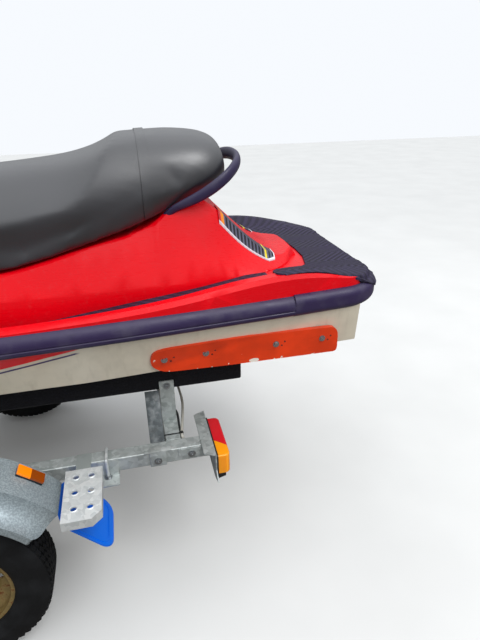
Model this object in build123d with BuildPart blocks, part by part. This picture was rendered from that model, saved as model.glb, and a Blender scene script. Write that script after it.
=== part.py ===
from build123d import *
import os
from math import atan2, cos, degrees, hypot, radians, sin, sqrt

# Two-seat personal watercraft parked on its boat trailer, in millimetres.
# +X points to the bow and the towing coupling, +Y to port, +Z up.
# The floor is Z = 0 and the origin is under the middle of the whole length.

os.makedirs("parts", exist_ok=True)

# Watercraft: lengths and levels
STERN_X = -1970.0
BOW_X = 730.0
TRANSOM_X = -1868.0
RAIL_LEVEL = 925.0
RAIL_HEIGHT = 64.0
RAIL_DEPTH = 34.0
CAP_FRONT_X = -1627.0
SHEER_START_X = -400.0
SHEER_RISE = 75.0
WALL = 8.0
JOINT_GAP = 1.0
FORM_FLOOR = 800.0
STATION_STEP = 150.0
MAT_THICKNESS = 6.0

# Jet pump
PUMP_Z = 690.0
TUNNEL_RADIUS = 112.0
TUNNEL_FRONT_X = -1540.0
PUMP_RADIUS = 92.0
DUCT_RADIUS = 78.0
NOZZLE_PIVOT_X = -1846.0

# Steering
STEER_X = 40.0
STEER_Z = 1392.0
STEER_LEAN = 24.0
COLUMN = Plane(origin=(STEER_X, 0, STEER_Z), z_dir=(-sin(radians(STEER_LEAN)), 0, cos(radians(STEER_LEAN))))

# Trailer
RAIL_TUBE = 50.0
TUBE_WALL = 3.0
FRAME_TOP = 500.0
RAIL_Y = 473.0
RAIL_REAR_X = -1330.0
RAIL_BEND_X = 180.0
DRAWBAR_TUBE = 60.0
DRAWBAR_FRONT_X = 1850.0
RAIL_FRONT_X = 1120.0
CROSS_X = (-1210.0, 20.0)
AXLE_X = -543.0
AXLE_Z = 268.0
TYRE_WIDTH = 145.0
RIM_RADIUS = 160.0
WHEEL_Y = 637.0
FENDER_RADIUS = 390.0
FENDER_INNER_Y = 556.0
FENDER_OUTER_Y = 744.0
BUNK_Y = 305.0
BUNK_WIDTH = 50.0
BUNK_HEIGHT = 75.0
POST_X = 905.0
JOCKEY_X = 1480.0
JOCKEY_Y = -92.0
JOCKEY_WHEEL_RADIUS = 100.0
JOCKEY_TRAIL = 38.0
COUPLING_BALL_RADIUS = 25.2
SIDES = (1, -1)


def save(builder, name):
    builder.part.label = name
    export_step(builder.part, f"parts/{name}.step")


def sheer_z(x):
    """Level of the joint between hull and deck, level aft and rising to the bow."""
    along = max(0.0, (x - SHEER_START_X) / (BOW_X - SHEER_START_X))
    return RAIL_LEVEL + SHEER_RISE * along**2


def mirrored(half):
    """Close a half outline (y, z), from the centre line outwards, with its mirror image."""
    return half + [(-y, z) for y, z in reversed(half) if y > 0]


def inset(half, depth):
    """Move a half outline inwards, square to its two neighbouring sides at each point."""
    moved = [(0.0, half[0][1] - depth)]
    for before, point, after in zip(half, half[1:], half[2:] + [None]):
        normals = []
        for start, end in ((before, point), (point, after)):
            if end is not None:
                run = hypot(end[0] - start[0], end[1] - start[1])
                normals.append(((end[1] - start[1]) / run, (start[0] - end[0]) / run))
        ny = sum(n[0] for n in normals)
        nz = sum(n[1] for n in normals)
        size = hypot(ny, nz)
        reach = depth * min(1.6, len(normals) / size) if len(normals) == 2 else depth
        moved.append((max(0.0, point[0] + reach * ny / size), point[1] + reach * nz / size))
    return moved


def hollowed(half):
    """The outline one wall further in, and reaching out below so that the shell is open underneath."""
    inner = inset(half, WALL)
    return inner[:-1] + [(inner[-1][0], inner[-1][1] - 20)]


def slopes(places, values):
    """Slope of a curve through the values at each place that never swings past its neighbours."""
    spans = [b - a for a, b in zip(places, places[1:])]
    rates = [(b - a) / span for a, b, span in zip(values, values[1:], spans)]
    found = [rates[0]]
    for span, next_span, rate, next_rate in zip(spans, spans[1:], rates, rates[1:]):
        if rate * next_rate <= 0:
            found.append(0.0)
        else:
            near = 2 * next_span + span
            far = next_span + 2 * span
            found.append((near + far) / (near / rate + far / next_rate))
    return found + [rates[-1]]


def eased(table, longest):
    """The table's rows with more between them, on smooth curves, so that no step in x is much over longest."""
    places = [row[0] for row in table]
    columns = [[row[i] for row in table] for i in range(1, len(table[0]))]
    tilts = [slopes(places, column) for column in columns]
    rows = []
    for i in range(len(places) - 1):
        span = places[i + 1] - places[i]
        steps = max(1, round(span / longest + 0.3))
        for step in range(steps):
            t = step / steps
            start = (1 + 2 * t) * (1 - t)**2
            start_tilt = t * (1 - t)**2 * span
            end = t * t * (3 - 2 * t)
            end_tilt = t * t * (t - 1) * span
            row = [places[i] + span * t]
            for column, tilt in zip(columns, tilts):
                row.append(start * column[i] + start_tilt * tilt[i] + end * column[i + 1] + end_tilt * tilt[i + 1])
            rows.append(tuple(row))
    return rows + [tuple(table[-1])]


def sections(table, change=None, end_wall=0.0):
    """One closed symmetric section for each (x, half outline) row, the first and last moved in by end_wall."""
    drawn = []
    for index, (x, half) in enumerate(table):
        shift = end_wall if index == 0 else -end_wall if index == len(table) - 1 else 0.0
        with BuildSketch(Plane.YZ.offset(x + shift)) as section:
            with BuildLine():
                Polyline(*mirrored(change(half) if change else half), close=True)
            make_face()
        drawn.append(section.sketch)
    return drawn


def tube_path(points, width):
    """Plan polygon of a bar of the given width along a bent centre line."""
    left = []
    right = []
    for index, point in enumerate(points):
        before = points[max(0, index - 1)]
        after = points[min(len(points) - 1, index + 1)]
        first = atan2(point[1] - before[1], point[0] - before[0]) if index else None
        second = atan2(after[1] - point[1], after[0] - point[0]) if index < len(points) - 1 else None
        first = second if first is None else first
        second = first if second is None else second
        middle = (first + second) / 2
        reach = width / 2 / cos((second - first) / 2)
        left.append((point[0] - reach * sin(middle), point[1] + reach * cos(middle)))
        right.append((point[0] + reach * sin(middle), point[1] - reach * cos(middle)))
    return left + right[::-1]


# Plan outline of the rubbing rail, port half: three arcs and the rounded stern corner
STERN_HALF = 255.0
CORNER = ((STERN_X, STERN_HALF), (-1922.0, 368.0), (-1805.0, 422.0))
QUARTER = (CORNER[2], (-1260.0, 477.0), (-700.0, 512.0))
WAIST = (QUARTER[2], (-250.0, 524.0), (180.0, 492.0))
BOW = (WAIST[2], (560.0, 318.0), (BOW_X, 0.0))


def plan_outline(shrink=0.0):
    """The whole plan outline as a face, moved inwards by shrink."""
    with BuildSketch() as plan:
        with BuildLine():
            Line((STERN_X, 0), CORNER[0])
            for arc in (CORNER, QUARTER, WAIST, BOW):
                ThreePointArc(*arc)
            mirror(about=Plane.XZ)
        make_face()
        if shrink:
            offset(amount=-shrink, mode=Mode.REPLACE)
    return plan.sketch


def sheer_band(low, high):
    """The space between two levels counted from the joint of hull and deck, across the whole beam."""
    start, end = SHEER_START_X, BOW_X + 20
    middle = (start + end) / 2
    top = sheer_z(end)
    with BuildPart() as band:
        with BuildSketch(Plane.XZ):
            with BuildLine():
                Polyline((start, RAIL_LEVEL + high), (STERN_X - 60, RAIL_LEVEL + high))
                Line((STERN_X - 60, RAIL_LEVEL + high), (STERN_X - 60, RAIL_LEVEL + low))
                Line((STERN_X - 60, RAIL_LEVEL + low), (start, RAIL_LEVEL + low))
                Bezier((start, RAIL_LEVEL + low), (middle, RAIL_LEVEL + low), (end, top + low))
                Line((end, top + low), (end, top + high))
                Bezier((end, top + high), (middle, RAIL_LEVEL + high), (start, RAIL_LEVEL + high))
            make_face()
        extrude(amount=700, both=True)
    return band.part


# Deck crown: x, ridge outer y, ridge z, edge y at the top of the rubbing rail
CROWN = [
    (-2000.0, 372.0, 992.0, 420.0),
    (-1700.0, 404.0, 1020.0, 446.0),
    (-1500.0, 424.0, 1022.0, 464.0),
    (-1270.0, 440.0, 993.0, 478.0),
    (-1090.0, 450.0, 976.0, 488.0),
    (-900.0, 462.0, 967.0, 500.0),
    (-600.0, 474.0, 968.0, 514.0),
    (-200.0, 476.0, 985.0, 520.0),
    (60.0, 462.0, 1006.0, 506.0),
    (240.0, 426.0, 1026.0, 472.0),
    (450.0, 318.0, 1046.0, 378.0),
    (620.0, 176.0, 1052.0, 236.0),
    (735.0, 46.0, 1040.0, 74.0),
]

# Footwells and rear deck: x, floor z, floor inner y, floor outer y and z, wall top y and z
WELL = [
    (-2000.0, 968.0, 190.0, 290.0, 978.0, 345.0, 992.0),
    (-1860.0, 974.0, 195.0, 300.0, 988.0, 358.0, 1008.0),
    (-1700.0, 979.0, 210.0, 325.0, 994.0, 374.0, 1020.0),
    (-1500.0, 980.0, 240.0, 352.0, 984.0, 392.0, 1022.0),
    (-1270.0, 955.0, 260.0, 384.0, 955.0, 412.0, 993.0),
    (-1090.0, 934.0, 270.0, 400.0, 934.0, 424.0, 976.0),
    (-900.0, 910.0, 275.0, 410.0, 910.0, 436.0, 967.0),
    (-600.0, 878.0, 275.0, 418.0, 878.0, 446.0, 968.0),
    (-200.0, 864.0, 270.0, 400.0, 864.0, 440.0, 985.0),
    (60.0, 904.0, 262.0, 368.0, 904.0, 420.0, 1006.0),
    (240.0, 1000.0, 240.0, 366.0, 1000.0, 400.0, 1026.0),
    (330.0, 1062.0, 220.0, 330.0, 1064.0, 360.0, 1070.0),
]
WELL_TOP = 1300.0


def crown_table(lift=0.0):
    table = []
    for x, ridge_y, ridge_z, edge_y in CROWN:
        edge_z = sheer_z(x) + RAIL_HEIGHT / 2 + lift
        half = [(0.0, ridge_z + lift), (ridge_y, ridge_z + lift), (edge_y, edge_z)]
        table.append((x, half + [(edge_y + 6.0, sheer_z(x)), (edge_y + 6.0, FORM_FLOOR)]))
    return table


def well_table(lift=0.0):
    table = []
    for x, floor_z, y1, y2, z2, y3, wall_z in WELL:
        half = [(0.0, floor_z), (y1, floor_z), (y2, z2), (y3, wall_z), (y3 + (WELL_TOP - wall_z) / 3, WELL_TOP)]
        table.append((x, [(y, z + lift) for y, z in half]))
    return table


# Pedestal under the seat: x, top z, top half width, shoulder drop, foot half width
PEDESTAL = [
    (-1752.0, 984.0, 60.0, 3.0, 78.0),
    (-1700.0, 1018.0, 120.0, 10.0, 150.0),
    (-1630.0, 1030.0, 176.0, 22.0, 222.0),
    (-1540.0, 1098.0, 182.0, 40.0, 262.0),
    (-1440.0, 1196.0, 176.0, 26.0, 286.0),
    (-1400.0, 1226.0, 176.0, 16.0, 292.0),
    (-1240.0, 1188.0, 206.0, 14.0, 300.0),
    (-1000.0, 1118.0, 240.0, 14.0, 306.0),
    (-780.0, 1070.0, 262.0, 12.0, 308.0),
    (-500.0, 1050.0, 258.0, 12.0, 306.0),
    (-250.0, 1062.0, 232.0, 14.0, 300.0),
    (-150.0, 1088.0, 212.0, 20.0, 296.0),
    (-60.0, 1120.0, 190.0, 30.0, 292.0),
]


def pedestal_half(top_z, top_y, drop, foot_y, floor_z):
    return [(0.0, top_z), (top_y, top_z - drop / 3), (top_y + 12.0, top_z - drop), (foot_y, floor_z)]


def pedestal_table():
    return [
        (x, pedestal_half(top_z, top_y, drop, foot_y, min(top_z - drop - 12.0, 985.0)) + [(foot_y, FORM_FLOOR)])
        for x, top_z, top_y, drop, foot_y in PEDESTAL
    ]


# Bow cowl: x, top z, top half width, top edge z, shoulder y, shoulder z, foot y
COWL = [
    (-130.0, 1290.0, 130.0, 1270.0, 226.0, 1130.0, 292.0),
    (40.0, 1372.0, 132.0, 1350.0, 268.0, 1170.0, 352.0),
    (180.0, 1342.0, 150.0, 1318.0, 296.0, 1170.0, 402.0),
    (360.0, 1258.0, 158.0, 1236.0, 290.0, 1136.0, 372.0),
    (540.0, 1162.0, 122.0, 1146.0, 208.0, 1094.0, 268.0),
    (660.0, 1096.0, 66.0, 1088.0, 110.0, 1070.0, 150.0),
    (722.0, 1058.0, 22.0, 1055.0, 36.0, 1050.0, 54.0),
]


def cowl_table():
    return [
        (x, [(0.0, top_z), (top_y, edge_z), (side_y, side_z), (foot_y, 1010.0), (foot_y, FORM_FLOOR)])
        for x, top_z, top_y, edge_z, side_y, side_z, foot_y in COWL
    ]


# Hull: x, keel z, flat half width, chine y, chine z, side y under the rail
HULL = eased([
    (TRANSOM_X, 596.0, 26.0, 386.0, 757.0, 408.0),
    (-1500.0, 592.0, 26.0, 398.0, 752.0, 440.0),
    (-900.0, 590.0, 24.0, 420.0, 742.0, 476.0),
    (-400.0, 592.0, 22.0, 424.0, 746.0, 492.0),
    (0.0, 604.0, 20.0, 372.0, 792.0, 482.0),
    (300.0, 650.0, 16.0, 300.0, 838.0, 420.0),
    (520.0, 740.0, 12.0, 196.0, 894.0, 312.0),
    (660.0, 850.0, 7.0, 96.0, 944.0, 176.0),
    (722.0, 935.0, 3.0, 22.0, 964.0, 62.0),
], STATION_STEP)


def hull_half(x, keel_z, keel_y, chine_y, chine_z, side_y, wall=0.0):
    top = sheer_z(x) - JOINT_GAP
    half = [(0.0, top), (side_y - wall, top)]
    half += [(max(1.0, chine_y - wall), chine_z + 0.5 * wall), (max(0.5, keel_y - 0.4 * wall), keel_z + wall)]
    return half


def hull_table(wall=0.0, lift=0.0):
    return [
        (row[0], [(y, z + lift if i < 2 else z) for i, (y, z) in enumerate(hull_half(*row, wall=wall))])
        for row in HULL
    ]


# Pump tunnel and water intake cut up into the hull, and the walls left round them
with BuildPart() as tunnel_walls:
    with BuildSketch(Plane.YZ.offset(TRANSOM_X)):
        with Locations((0, PUMP_Z)):
            Circle(TUNNEL_RADIUS + WALL)
        with Locations((0, PUMP_Z - 100)):
            Rectangle(2 * (TUNNEL_RADIUS + WALL), 200)
    extrude(amount=TUNNEL_FRONT_X - TRANSOM_X + WALL)
    with BuildSketch(Plane.XZ):
        with BuildLine():
            Polyline((-1560, 780), (-1360, 740), (-1120, 612), (-1120, 560), (-1560, 560), close=True)
        make_face()
    extrude(amount=DUCT_RADIUS + WALL, both=True)

with BuildPart() as tunnel_space:
    with BuildSketch(Plane.YZ.offset(TRANSOM_X - 5)):
        with Locations((0, PUMP_Z)):
            Circle(TUNNEL_RADIUS)
        with Locations((0, PUMP_Z - 100)):
            Rectangle(2 * TUNNEL_RADIUS, 200)
    extrude(amount=TUNNEL_FRONT_X - TRANSOM_X + 5)
    with BuildSketch(Plane.XZ):
        with BuildLine():
            Polyline((-1560, 768), (-1364, 730), (-1150, 612), (-1150, 540), (-1560, 540), close=True)
        make_face()
    extrude(amount=DUCT_RADIUS, both=True)

with BuildPart() as hull_cavity:
    loft(sections(hull_table(wall=WALL, lift=30.0)))
    with BuildSketch(Plane.YZ.offset(TRANSOM_X - 10)):
        with Locations((0, 800)):
            Rectangle(1200, 700)
    extrude(amount=10 + WALL, mode=Mode.SUBTRACT)
    add(tunnel_walls.part, mode=Mode.SUBTRACT)

with BuildPart() as hull:
    loft(sections(hull_table()))
    add(hull_cavity.part, mode=Mode.SUBTRACT)
    add(tunnel_space.part, mode=Mode.SUBTRACT)
    add(sheer_band(-JOINT_GAP, 200.0), mode=Mode.SUBTRACT)
save(hull, "hull")

# Deck moulding: gunwales, footwells, rear deck, seat pedestal and bow cowl in one shell
with BuildPart() as plan_prism:
    with BuildSketch(Plane.XY.offset(FORM_FLOOR - 40)):
        add(plan_outline(RAIL_DEPTH - 12))
    extrude(amount=700)

with BuildPart() as plan_core:
    with BuildSketch(Plane.XY.offset(FORM_FLOOR - 40)):
        add(plan_outline(RAIL_DEPTH - 12 + WALL))
    extrude(amount=700)

with BuildPart() as well:
    loft(sections(well_table()))

with BuildPart() as well_shell:
    loft(sections(well_table(), lambda half: inset(half, WALL)))

with BuildPart() as deck_form:
    loft(sections(crown_table()))
    add(plan_prism.part, mode=Mode.INTERSECT)
    add(well.part, mode=Mode.SUBTRACT)
    loft(sections(pedestal_table()))
    loft(sections(cowl_table()))

with BuildPart() as deck_core:
    loft(sections(crown_table(), hollowed))
    add(plan_core.part, mode=Mode.INTERSECT)
    add(well_shell.part, mode=Mode.SUBTRACT)
    loft(sections(pedestal_table(), hollowed, end_wall=WALL))
    loft(sections(cowl_table(), hollowed, end_wall=WALL))

# Storage lid in the bow cowl, seen in plan
LID_HALF = 150.0
LID_FRONT_X = 560.0
LID_REAR_X = 190.0
LID_GAP = 5.0


def lid_face():
    with BuildSketch() as face:
        Polygon((LID_REAR_X, -LID_HALF), (LID_REAR_X, LID_HALF), (420, LID_HALF - 12), (LID_FRONT_X, 96),
                (LID_FRONT_X, -96), (420, 12 - LID_HALF), align=None)
    return face.sketch


with BuildPart() as lid_prism:
    with BuildSketch(Plane.XY.offset(1000)):
        add(lid_face())
    extrude(amount=500)

with BuildPart() as lid_hole:
    with BuildSketch(Plane.XY.offset(1000)):
        add(lid_face())
        offset(amount=LID_GAP, mode=Mode.REPLACE)
    extrude(amount=500)

# Everything below the joint between hull and deck, round the edge only
with BuildPart() as skirt_cut:
    add(sheer_band(-300.0, JOINT_GAP))
    with BuildSketch(Plane.XY.offset(600)):
        add(plan_outline(RAIL_DEPTH + 22))
    extrude(amount=600, mode=Mode.SUBTRACT)

with BuildPart() as deck:
    add(deck_form.part)
    add(deck_core.part, mode=Mode.SUBTRACT)
    add(skirt_cut.part, mode=Mode.SUBTRACT)
    add(lid_hole.part, mode=Mode.SUBTRACT)
save(deck, "deck")

# Storage lid in the bow cowl, and the tray that hangs under it
with BuildPart() as bow_lid:
    add(deck_form.part)
    add(lid_prism.part, mode=Mode.INTERSECT)
    add(deck_core.part, mode=Mode.SUBTRACT)
save(bow_lid, "bow_lid")

TRAY_FLOOR = 985.0
with BuildPart() as storage_tray:
    with BuildSketch(Plane.XY.offset(TRAY_FLOOR)):
        add(lid_face())
        offset(amount=LID_GAP + 9, mode=Mode.REPLACE)
    extrude(amount=500)
    with BuildSketch(Plane.XY.offset(TRAY_FLOOR + 4)):
        add(lid_face())
        offset(amount=LID_GAP + 5, mode=Mode.REPLACE)
    extrude(amount=500, mode=Mode.SUBTRACT)
    add(deck_core.part, mode=Mode.INTERSECT)
save(storage_tray, "storage_tray")

# Rubbing rail of rubber round the joint: round outside, with a groove low down
RAIL_PLACES = ((QUARTER, (0.1, 0.3, 0.5, 0.7, 0.9)), (WAIST, (0.1, 0.36, 0.63, 0.9)), (BOW, (0.12, 0.35, 0.57, 0.78, 0.93)))


def upright(spot, heading):
    """Plane across a path at a spot, its x level and to the left of the heading."""
    return Plane(origin=spot, x_dir=(-heading.Y, heading.X, 0), z_dir=heading)


def rail_section(place):
    half = RAIL_HEIGHT / 2
    with BuildSketch(place) as section:
        with BuildLine():
            Line((-RAIL_DEPTH, -half), (-16, -half))
            ThreePointArc((-16, -half), (-5, 5 - half), (0, -14))
            Polyline((0, -14), (-3, -11), (0, -8))
            ThreePointArc((0, -8), (-6, 18), (-26, half))
            Polyline((-26, half), (-RAIL_DEPTH, half), (-RAIL_DEPTH, -half))
        make_face()
    return section.sketch


def rail_sections():
    """Sections of the port half of the rail, from behind the edge of the stern cap to the stem."""
    drawn = []
    for arc, places in RAIL_PLACES:
        curve = Edge.make_three_point_arc(*[Vector(x, y, 0) for x, y in arc])
        for place in places:
            spot = curve @ place
            drawn.append(rail_section(upright((spot.X, spot.Y, sheer_z(spot.X)), curve % place)))
    drawn.append(rail_section(upright((BOW_X, 0, sheer_z(BOW_X)), Vector(0, -1, 0))))
    return drawn


with BuildPart() as rubbing_rail:
    loft(rail_sections())
    with BuildSketch(Plane.XY.offset(700)):
        with Locations((CAP_FRONT_X - 500, 0)):
            Rectangle(1000, 2000)
    extrude(amount=500, mode=Mode.SUBTRACT)
    mirror(about=Plane.XZ)
    add(deck.part, mode=Mode.SUBTRACT)
    add(hull.part, mode=Mode.SUBTRACT)
save(rubbing_rail, "rubbing_rail")

CAP_EXTRA = 4.0
CAP_ROUND = 26.0
CAP_FLAT_Z = RAIL_LEVEL + RAIL_HEIGHT / 2 + CAP_EXTRA
MAT_DRAPE = 4.0


def cap_form(grow=0.0):
    """The whole outline at the height of the stern cap, rounded above and below."""
    reach = CAP_EXTRA + grow
    with BuildPart() as form:
        with BuildSketch(Plane.XY.offset(RAIL_LEVEL - RAIL_HEIGHT / 2 - reach)):
            add(plan_outline(-reach))
        extrude(amount=RAIL_HEIGHT + 2 * reach)
        fillet(form.edges().filter_by(Plane.XY), CAP_ROUND + grow)
    return form.part


with BuildPart() as stern_cap:
    add(cap_form())
    with BuildSketch(Plane.XY.offset(700)):
        add(plan_outline(RAIL_DEPTH))
    extrude(amount=500, mode=Mode.SUBTRACT)
    with BuildSketch(Plane.XY.offset(700)):
        with Locations((CAP_FRONT_X + 2000, 0)):
            Rectangle(4000, 2000)
    extrude(amount=500, mode=Mode.SUBTRACT)
    add(deck.part, mode=Mode.SUBTRACT)
    add(hull.part, mode=Mode.SUBTRACT)
save(stern_cap, "stern_cap")

# Sponson boards bolted to the hull sides
SPONSON_FACE_Y = 426.0
with BuildPart() as sponsons:
    with BuildSketch(Plane.XZ.offset(-SPONSON_FACE_Y)):
        with BuildLine():
            Polyline((-1215, 824), (-1775, 820), (-1785, 808), (-1787, 760), (-1777, 746), (-1215, 741))
            ThreePointArc((-1215, 741), (-1163, 780), (-1215, 824))
        make_face()
    extrude(amount=46)
    mirror(about=Plane.XZ)
    add(hull.part, mode=Mode.SUBTRACT)
    add(hull_cavity.part, mode=Mode.SUBTRACT)
save(sponsons, "sponsons")

# Rubber mats laid on the rear deck and in the footwells
with BuildPart() as mat_top:
    loft(sections(well_table(lift=MAT_THICKNESS)))

MAT_DROP_Z = 932.0
with BuildPart() as mat_drape:
    add(cap_form(grow=MAT_DRAPE))
    with BuildSketch(Plane.XY.offset(MAT_DROP_Z)):
        Polygon((-1946, 290), (-2000, 250), (-2000, -250), (-1946, -290), align=None)
    extrude(amount=100, mode=Mode.INTERSECT)
    add(cap_form(), mode=Mode.SUBTRACT)

with BuildPart() as ridge_mat:
    loft(sections(crown_table(lift=MAT_THICKNESS)))
    with BuildSketch(Plane.XY.offset(CAP_FLAT_Z)):
        for side in SIDES:
            Polygon((-1950, side * 347), (-1860, side * 356), (-1700, side * 372), (-1590, side * 382),
                    (-1572, side * 392), (-1590, side * 412), (-1700, side * 401), (-1800, side * 390),
                    (-1900, side * 380), (-1944, side * 360), align=None)
    extrude(amount=200, mode=Mode.INTERSECT)
    add(plan_prism.part, mode=Mode.INTERSECT)

with BuildPart() as rear_mat:
    with BuildSketch(Plane.XY.offset(900)):
        Polygon((-1964, 262), (-1940, 340), (-1900, 352), (-1800, 363), (-1590, 382), (-1572, 378), (-1600, 366),
                (-1604, 300), (-1730, 286), (-1730, -286), (-1604, -300), (-1600, -366), (-1572, -378),
                (-1590, -382), (-1800, -363), (-1900, -352), (-1940, -340), (-1964, -262), align=None)
    extrude(amount=200)
    add(well.part, mode=Mode.INTERSECT)
    add(mat_top.part, mode=Mode.SUBTRACT)
    with BuildSketch(Plane.XY.offset(CAP_FLAT_Z - MAT_THICKNESS)):
        with Locations((-1952, 0)):
            Rectangle(24, 520)
    extrude(amount=20)
    add(mat_drape.part)
    add(ridge_mat.part)
    add(deck_form.part, mode=Mode.SUBTRACT)
    add(cap_form(), mode=Mode.SUBTRACT)
save(rear_mat, "rear_mat")

with BuildPart() as footwell_mats:
    with BuildSketch(Plane.XY.offset(800)):
        Polygon((-1575, 270), (-1575, 350), (-1270, 376), (-900, 404), (-600, 410), (-200, 404), (60, 388),
                (60, 270), align=None)
    extrude(amount=250)
    mirror(about=Plane.XZ)
    add(well.part, mode=Mode.INTERSECT)
    add(mat_top.part, mode=Mode.SUBTRACT)
    add(deck_form.part, mode=Mode.SUBTRACT)
save(footwell_mats, "footwell_mats")

# Two-place seat. Round body: x, bottom z, bottom y, side y and z where the round starts, top z
SEAT_BODY = eased([
    (-1478.0, 1294.0, 96.0, 120.0, 1316.0, 1362.0),
    (-1440.0, 1260.0, 150.0, 176.0, 1296.0, 1416.0),
    (-1350.0, 1238.0, 190.0, 212.0, 1280.0, 1432.0),
    (-1240.0, 1196.0, 214.0, 232.0, 1252.0, 1430.0),
    (-1120.0, 1156.0, 238.0, 250.0, 1222.0, 1424.0),
    (-1000.0, 1124.0, 254.0, 262.0, 1200.0, 1420.0),
    (-780.0, 1076.0, 274.0, 272.0, 1176.0, 1420.0),
    (-500.0, 1056.0, 272.0, 260.0, 1166.0, 1410.0),
    (-270.0, 1066.0, 242.0, 230.0, 1174.0, 1400.0),
    (-144.0, 1108.0, 198.0, 184.0, 1200.0, 1380.0),
], STATION_STEP)

# Saddle that the rider sits in, cut from above: x, middle z, edge z
SADDLE_HALF = 290.0
SADDLE = eased([
    (-1500.0, 1580.0, 1560.0),
    (-1250.0, 1500.0, 1480.0),
    (-1150.0, 1432.0, 1420.0),
    (-1085.0, 1396.0, 1318.0),
    (-1020.0, 1374.0, 1232.0),
    (-900.0, 1354.0, 1194.0),
    (-780.0, 1343.0, 1180.0),
    (-500.0, 1330.0, 1170.0),
    (-270.0, 1332.0, 1178.0),
    (-130.0, 1326.0, 1200.0),
], STATION_STEP)


def seat_sections(grow=0.0):
    drawn = []
    for x, bottom_z, bottom_y, side_y, side_z, top_z in SEAT_BODY:
        foot_y, wide_y, high_z = bottom_y + grow, side_y + grow, top_z + grow
        shoulder_z = side_z + 0.6 * (top_z - side_z)
        with BuildSketch(Plane.YZ.offset(x)) as section:
            with BuildLine():
                Polyline((-wide_y, side_z), (-foot_y, bottom_z - grow), (foot_y, bottom_z - grow), (wide_y, side_z))
                Bezier((wide_y, side_z), (wide_y, shoulder_z), (0.6 * wide_y, high_z), (0, high_z))
                Bezier((0, high_z), (-0.6 * wide_y, high_z), (-wide_y, shoulder_z), (-wide_y, side_z))
            make_face()
        drawn.append(section.sketch)
    return drawn


def saddle_sections():
    drawn = []
    for x, middle_z, edge_z in SADDLE:
        with BuildSketch(Plane.YZ.offset(x)) as section:
            with BuildLine():
                ThreePointArc((SADDLE_HALF, edge_z), (0, middle_z), (-SADDLE_HALF, edge_z))
                Polyline((-SADDLE_HALF, edge_z), (-SADDLE_HALF, 1000), (SADDLE_HALF, 1000), (SADDLE_HALF, edge_z))
            make_face()
        drawn.append(section.sketch)
    return drawn


with BuildPart() as saddle_form:
    loft(saddle_sections())

with BuildPart() as seat:
    loft(seat_sections())
    add(saddle_form.part, mode=Mode.INTERSECT)
    add(deck_form.part, mode=Mode.SUBTRACT)
save(seat, "seat")

with BuildPart() as seat_strap:
    loft(seat_sections(grow=3.0))
    add(seat.part, mode=Mode.SUBTRACT)
    with BuildSketch(Plane.XY.offset(1000)):
        with Locations((-1211, 0)):
            Rectangle(26, 700)
    extrude(amount=500, mode=Mode.INTERSECT)
    add(deck_form.part, mode=Mode.SUBTRACT)
save(seat_strap, "seat_strap")

# Passenger's grab handle round the back of the seat, thin where it leaves the deck
HANDLE_PATH = ((-1262, 200, 1186), (-1300, 213, 1212), (-1345, 222, 1238), (-1400, 223, 1262), (-1460, 206, 1298),
               (-1506, 156, 1328), (-1526, 86, 1342), (-1531, 0, 1346))
HANDLE_HALVES = ((0.0, 8, 12), (0.08, 9, 14), (0.18, 11, 18), (0.3, 12, 20), (0.4, 13, 21), (0.5, 13, 21))
with BuildPart() as grab_handle:
    handle_curve = Edge.make_spline([Vector(*p) for p in HANDLE_PATH] + [Vector(x, -y, z) for x, y, z in HANDLE_PATH[-2::-1]])
    for place, across, tall in HANDLE_HALVES + tuple((1 - p, a, t) for p, a, t in HANDLE_HALVES[-2::-1]):
        with BuildSketch(upright(handle_curve @ place, handle_curve % place)):
            Ellipse(across, tall)
    loft()
    add(deck_form.part, mode=Mode.SUBTRACT)
    add(seat.part, mode=Mode.SUBTRACT)
save(grab_handle, "grab_handle")

# Ribbed trim strips on the back corners of the pedestal
with BuildPart() as strip_skin:
    loft(sections(pedestal_table(), lambda half: inset(half, -5)))

with BuildPart() as trim_strips:
    with BuildSketch(Plane.XY.offset(950)):
        Polygon((-1438, 200), (-1610, 206), (-1636, 190), (-1636, 128), (-1438, 118), align=None)
    extrude(amount=300)
    mirror(about=Plane.XZ)
    add(strip_skin.part, mode=Mode.INTERSECT)
    add(deck_form.part, mode=Mode.SUBTRACT)
save(trim_strips, "trim_strips")

# Instrument cowl in front of the rider: x, low z, high z, half width
INSTRUMENT_COWL = (
    (-84, 1300, 1392, 92),
    (20, 1330, 1436, 112),
    (110, 1320, 1412, 104),
    (176, 1310, 1352, 80),
)
with BuildPart() as instrument_cowl:
    for x, low, high, half_width in INSTRUMENT_COWL:
        with BuildSketch(Plane.YZ.offset(x)):
            with BuildLine():
                Line((-half_width, low), (half_width, low))
                Line((half_width, low), (half_width - 8, high - 30))
                ThreePointArc((half_width - 8, high - 30), (0, high), (8 - half_width, high - 30))
                Line((8 - half_width, high - 30), (-half_width, low))
            make_face()
    loft()
    add(deck_form.part, mode=Mode.SUBTRACT)
    with BuildSketch(COLUMN):
        Circle(24.4)
    extrude(amount=200, mode=Mode.SUBTRACT)
save(instrument_cowl, "instrument_cowl")

# Handlebar on its leaning column, with a crash pad and two grips
with BuildPart() as handlebar:
    with BuildSketch(COLUMN):
        Circle(24)
    extrude(amount=110)
    with BuildLine() as bar_path:
        FilletPolyline((-62, 260, 1512), (-24, 170, 1500), (-6, 90, 1484), (-6, -90, 1484), (-24, -170, 1500),
                       (-62, -260, 1512), radius=60)
    with BuildSketch(Plane(origin=bar_path.line @ 0, z_dir=bar_path.line % 0)):
        Circle(11)
    sweep()
save(handlebar, "handlebar")

with BuildPart() as grips:
    for side in SIDES:
        with BuildSketch(Plane(origin=(-62, side * 260, 1512), z_dir=(-0.38, side * 0.9, 0.12))):
            Circle(16.5)
        extrude(amount=122)
save(grips, "grips")

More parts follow.
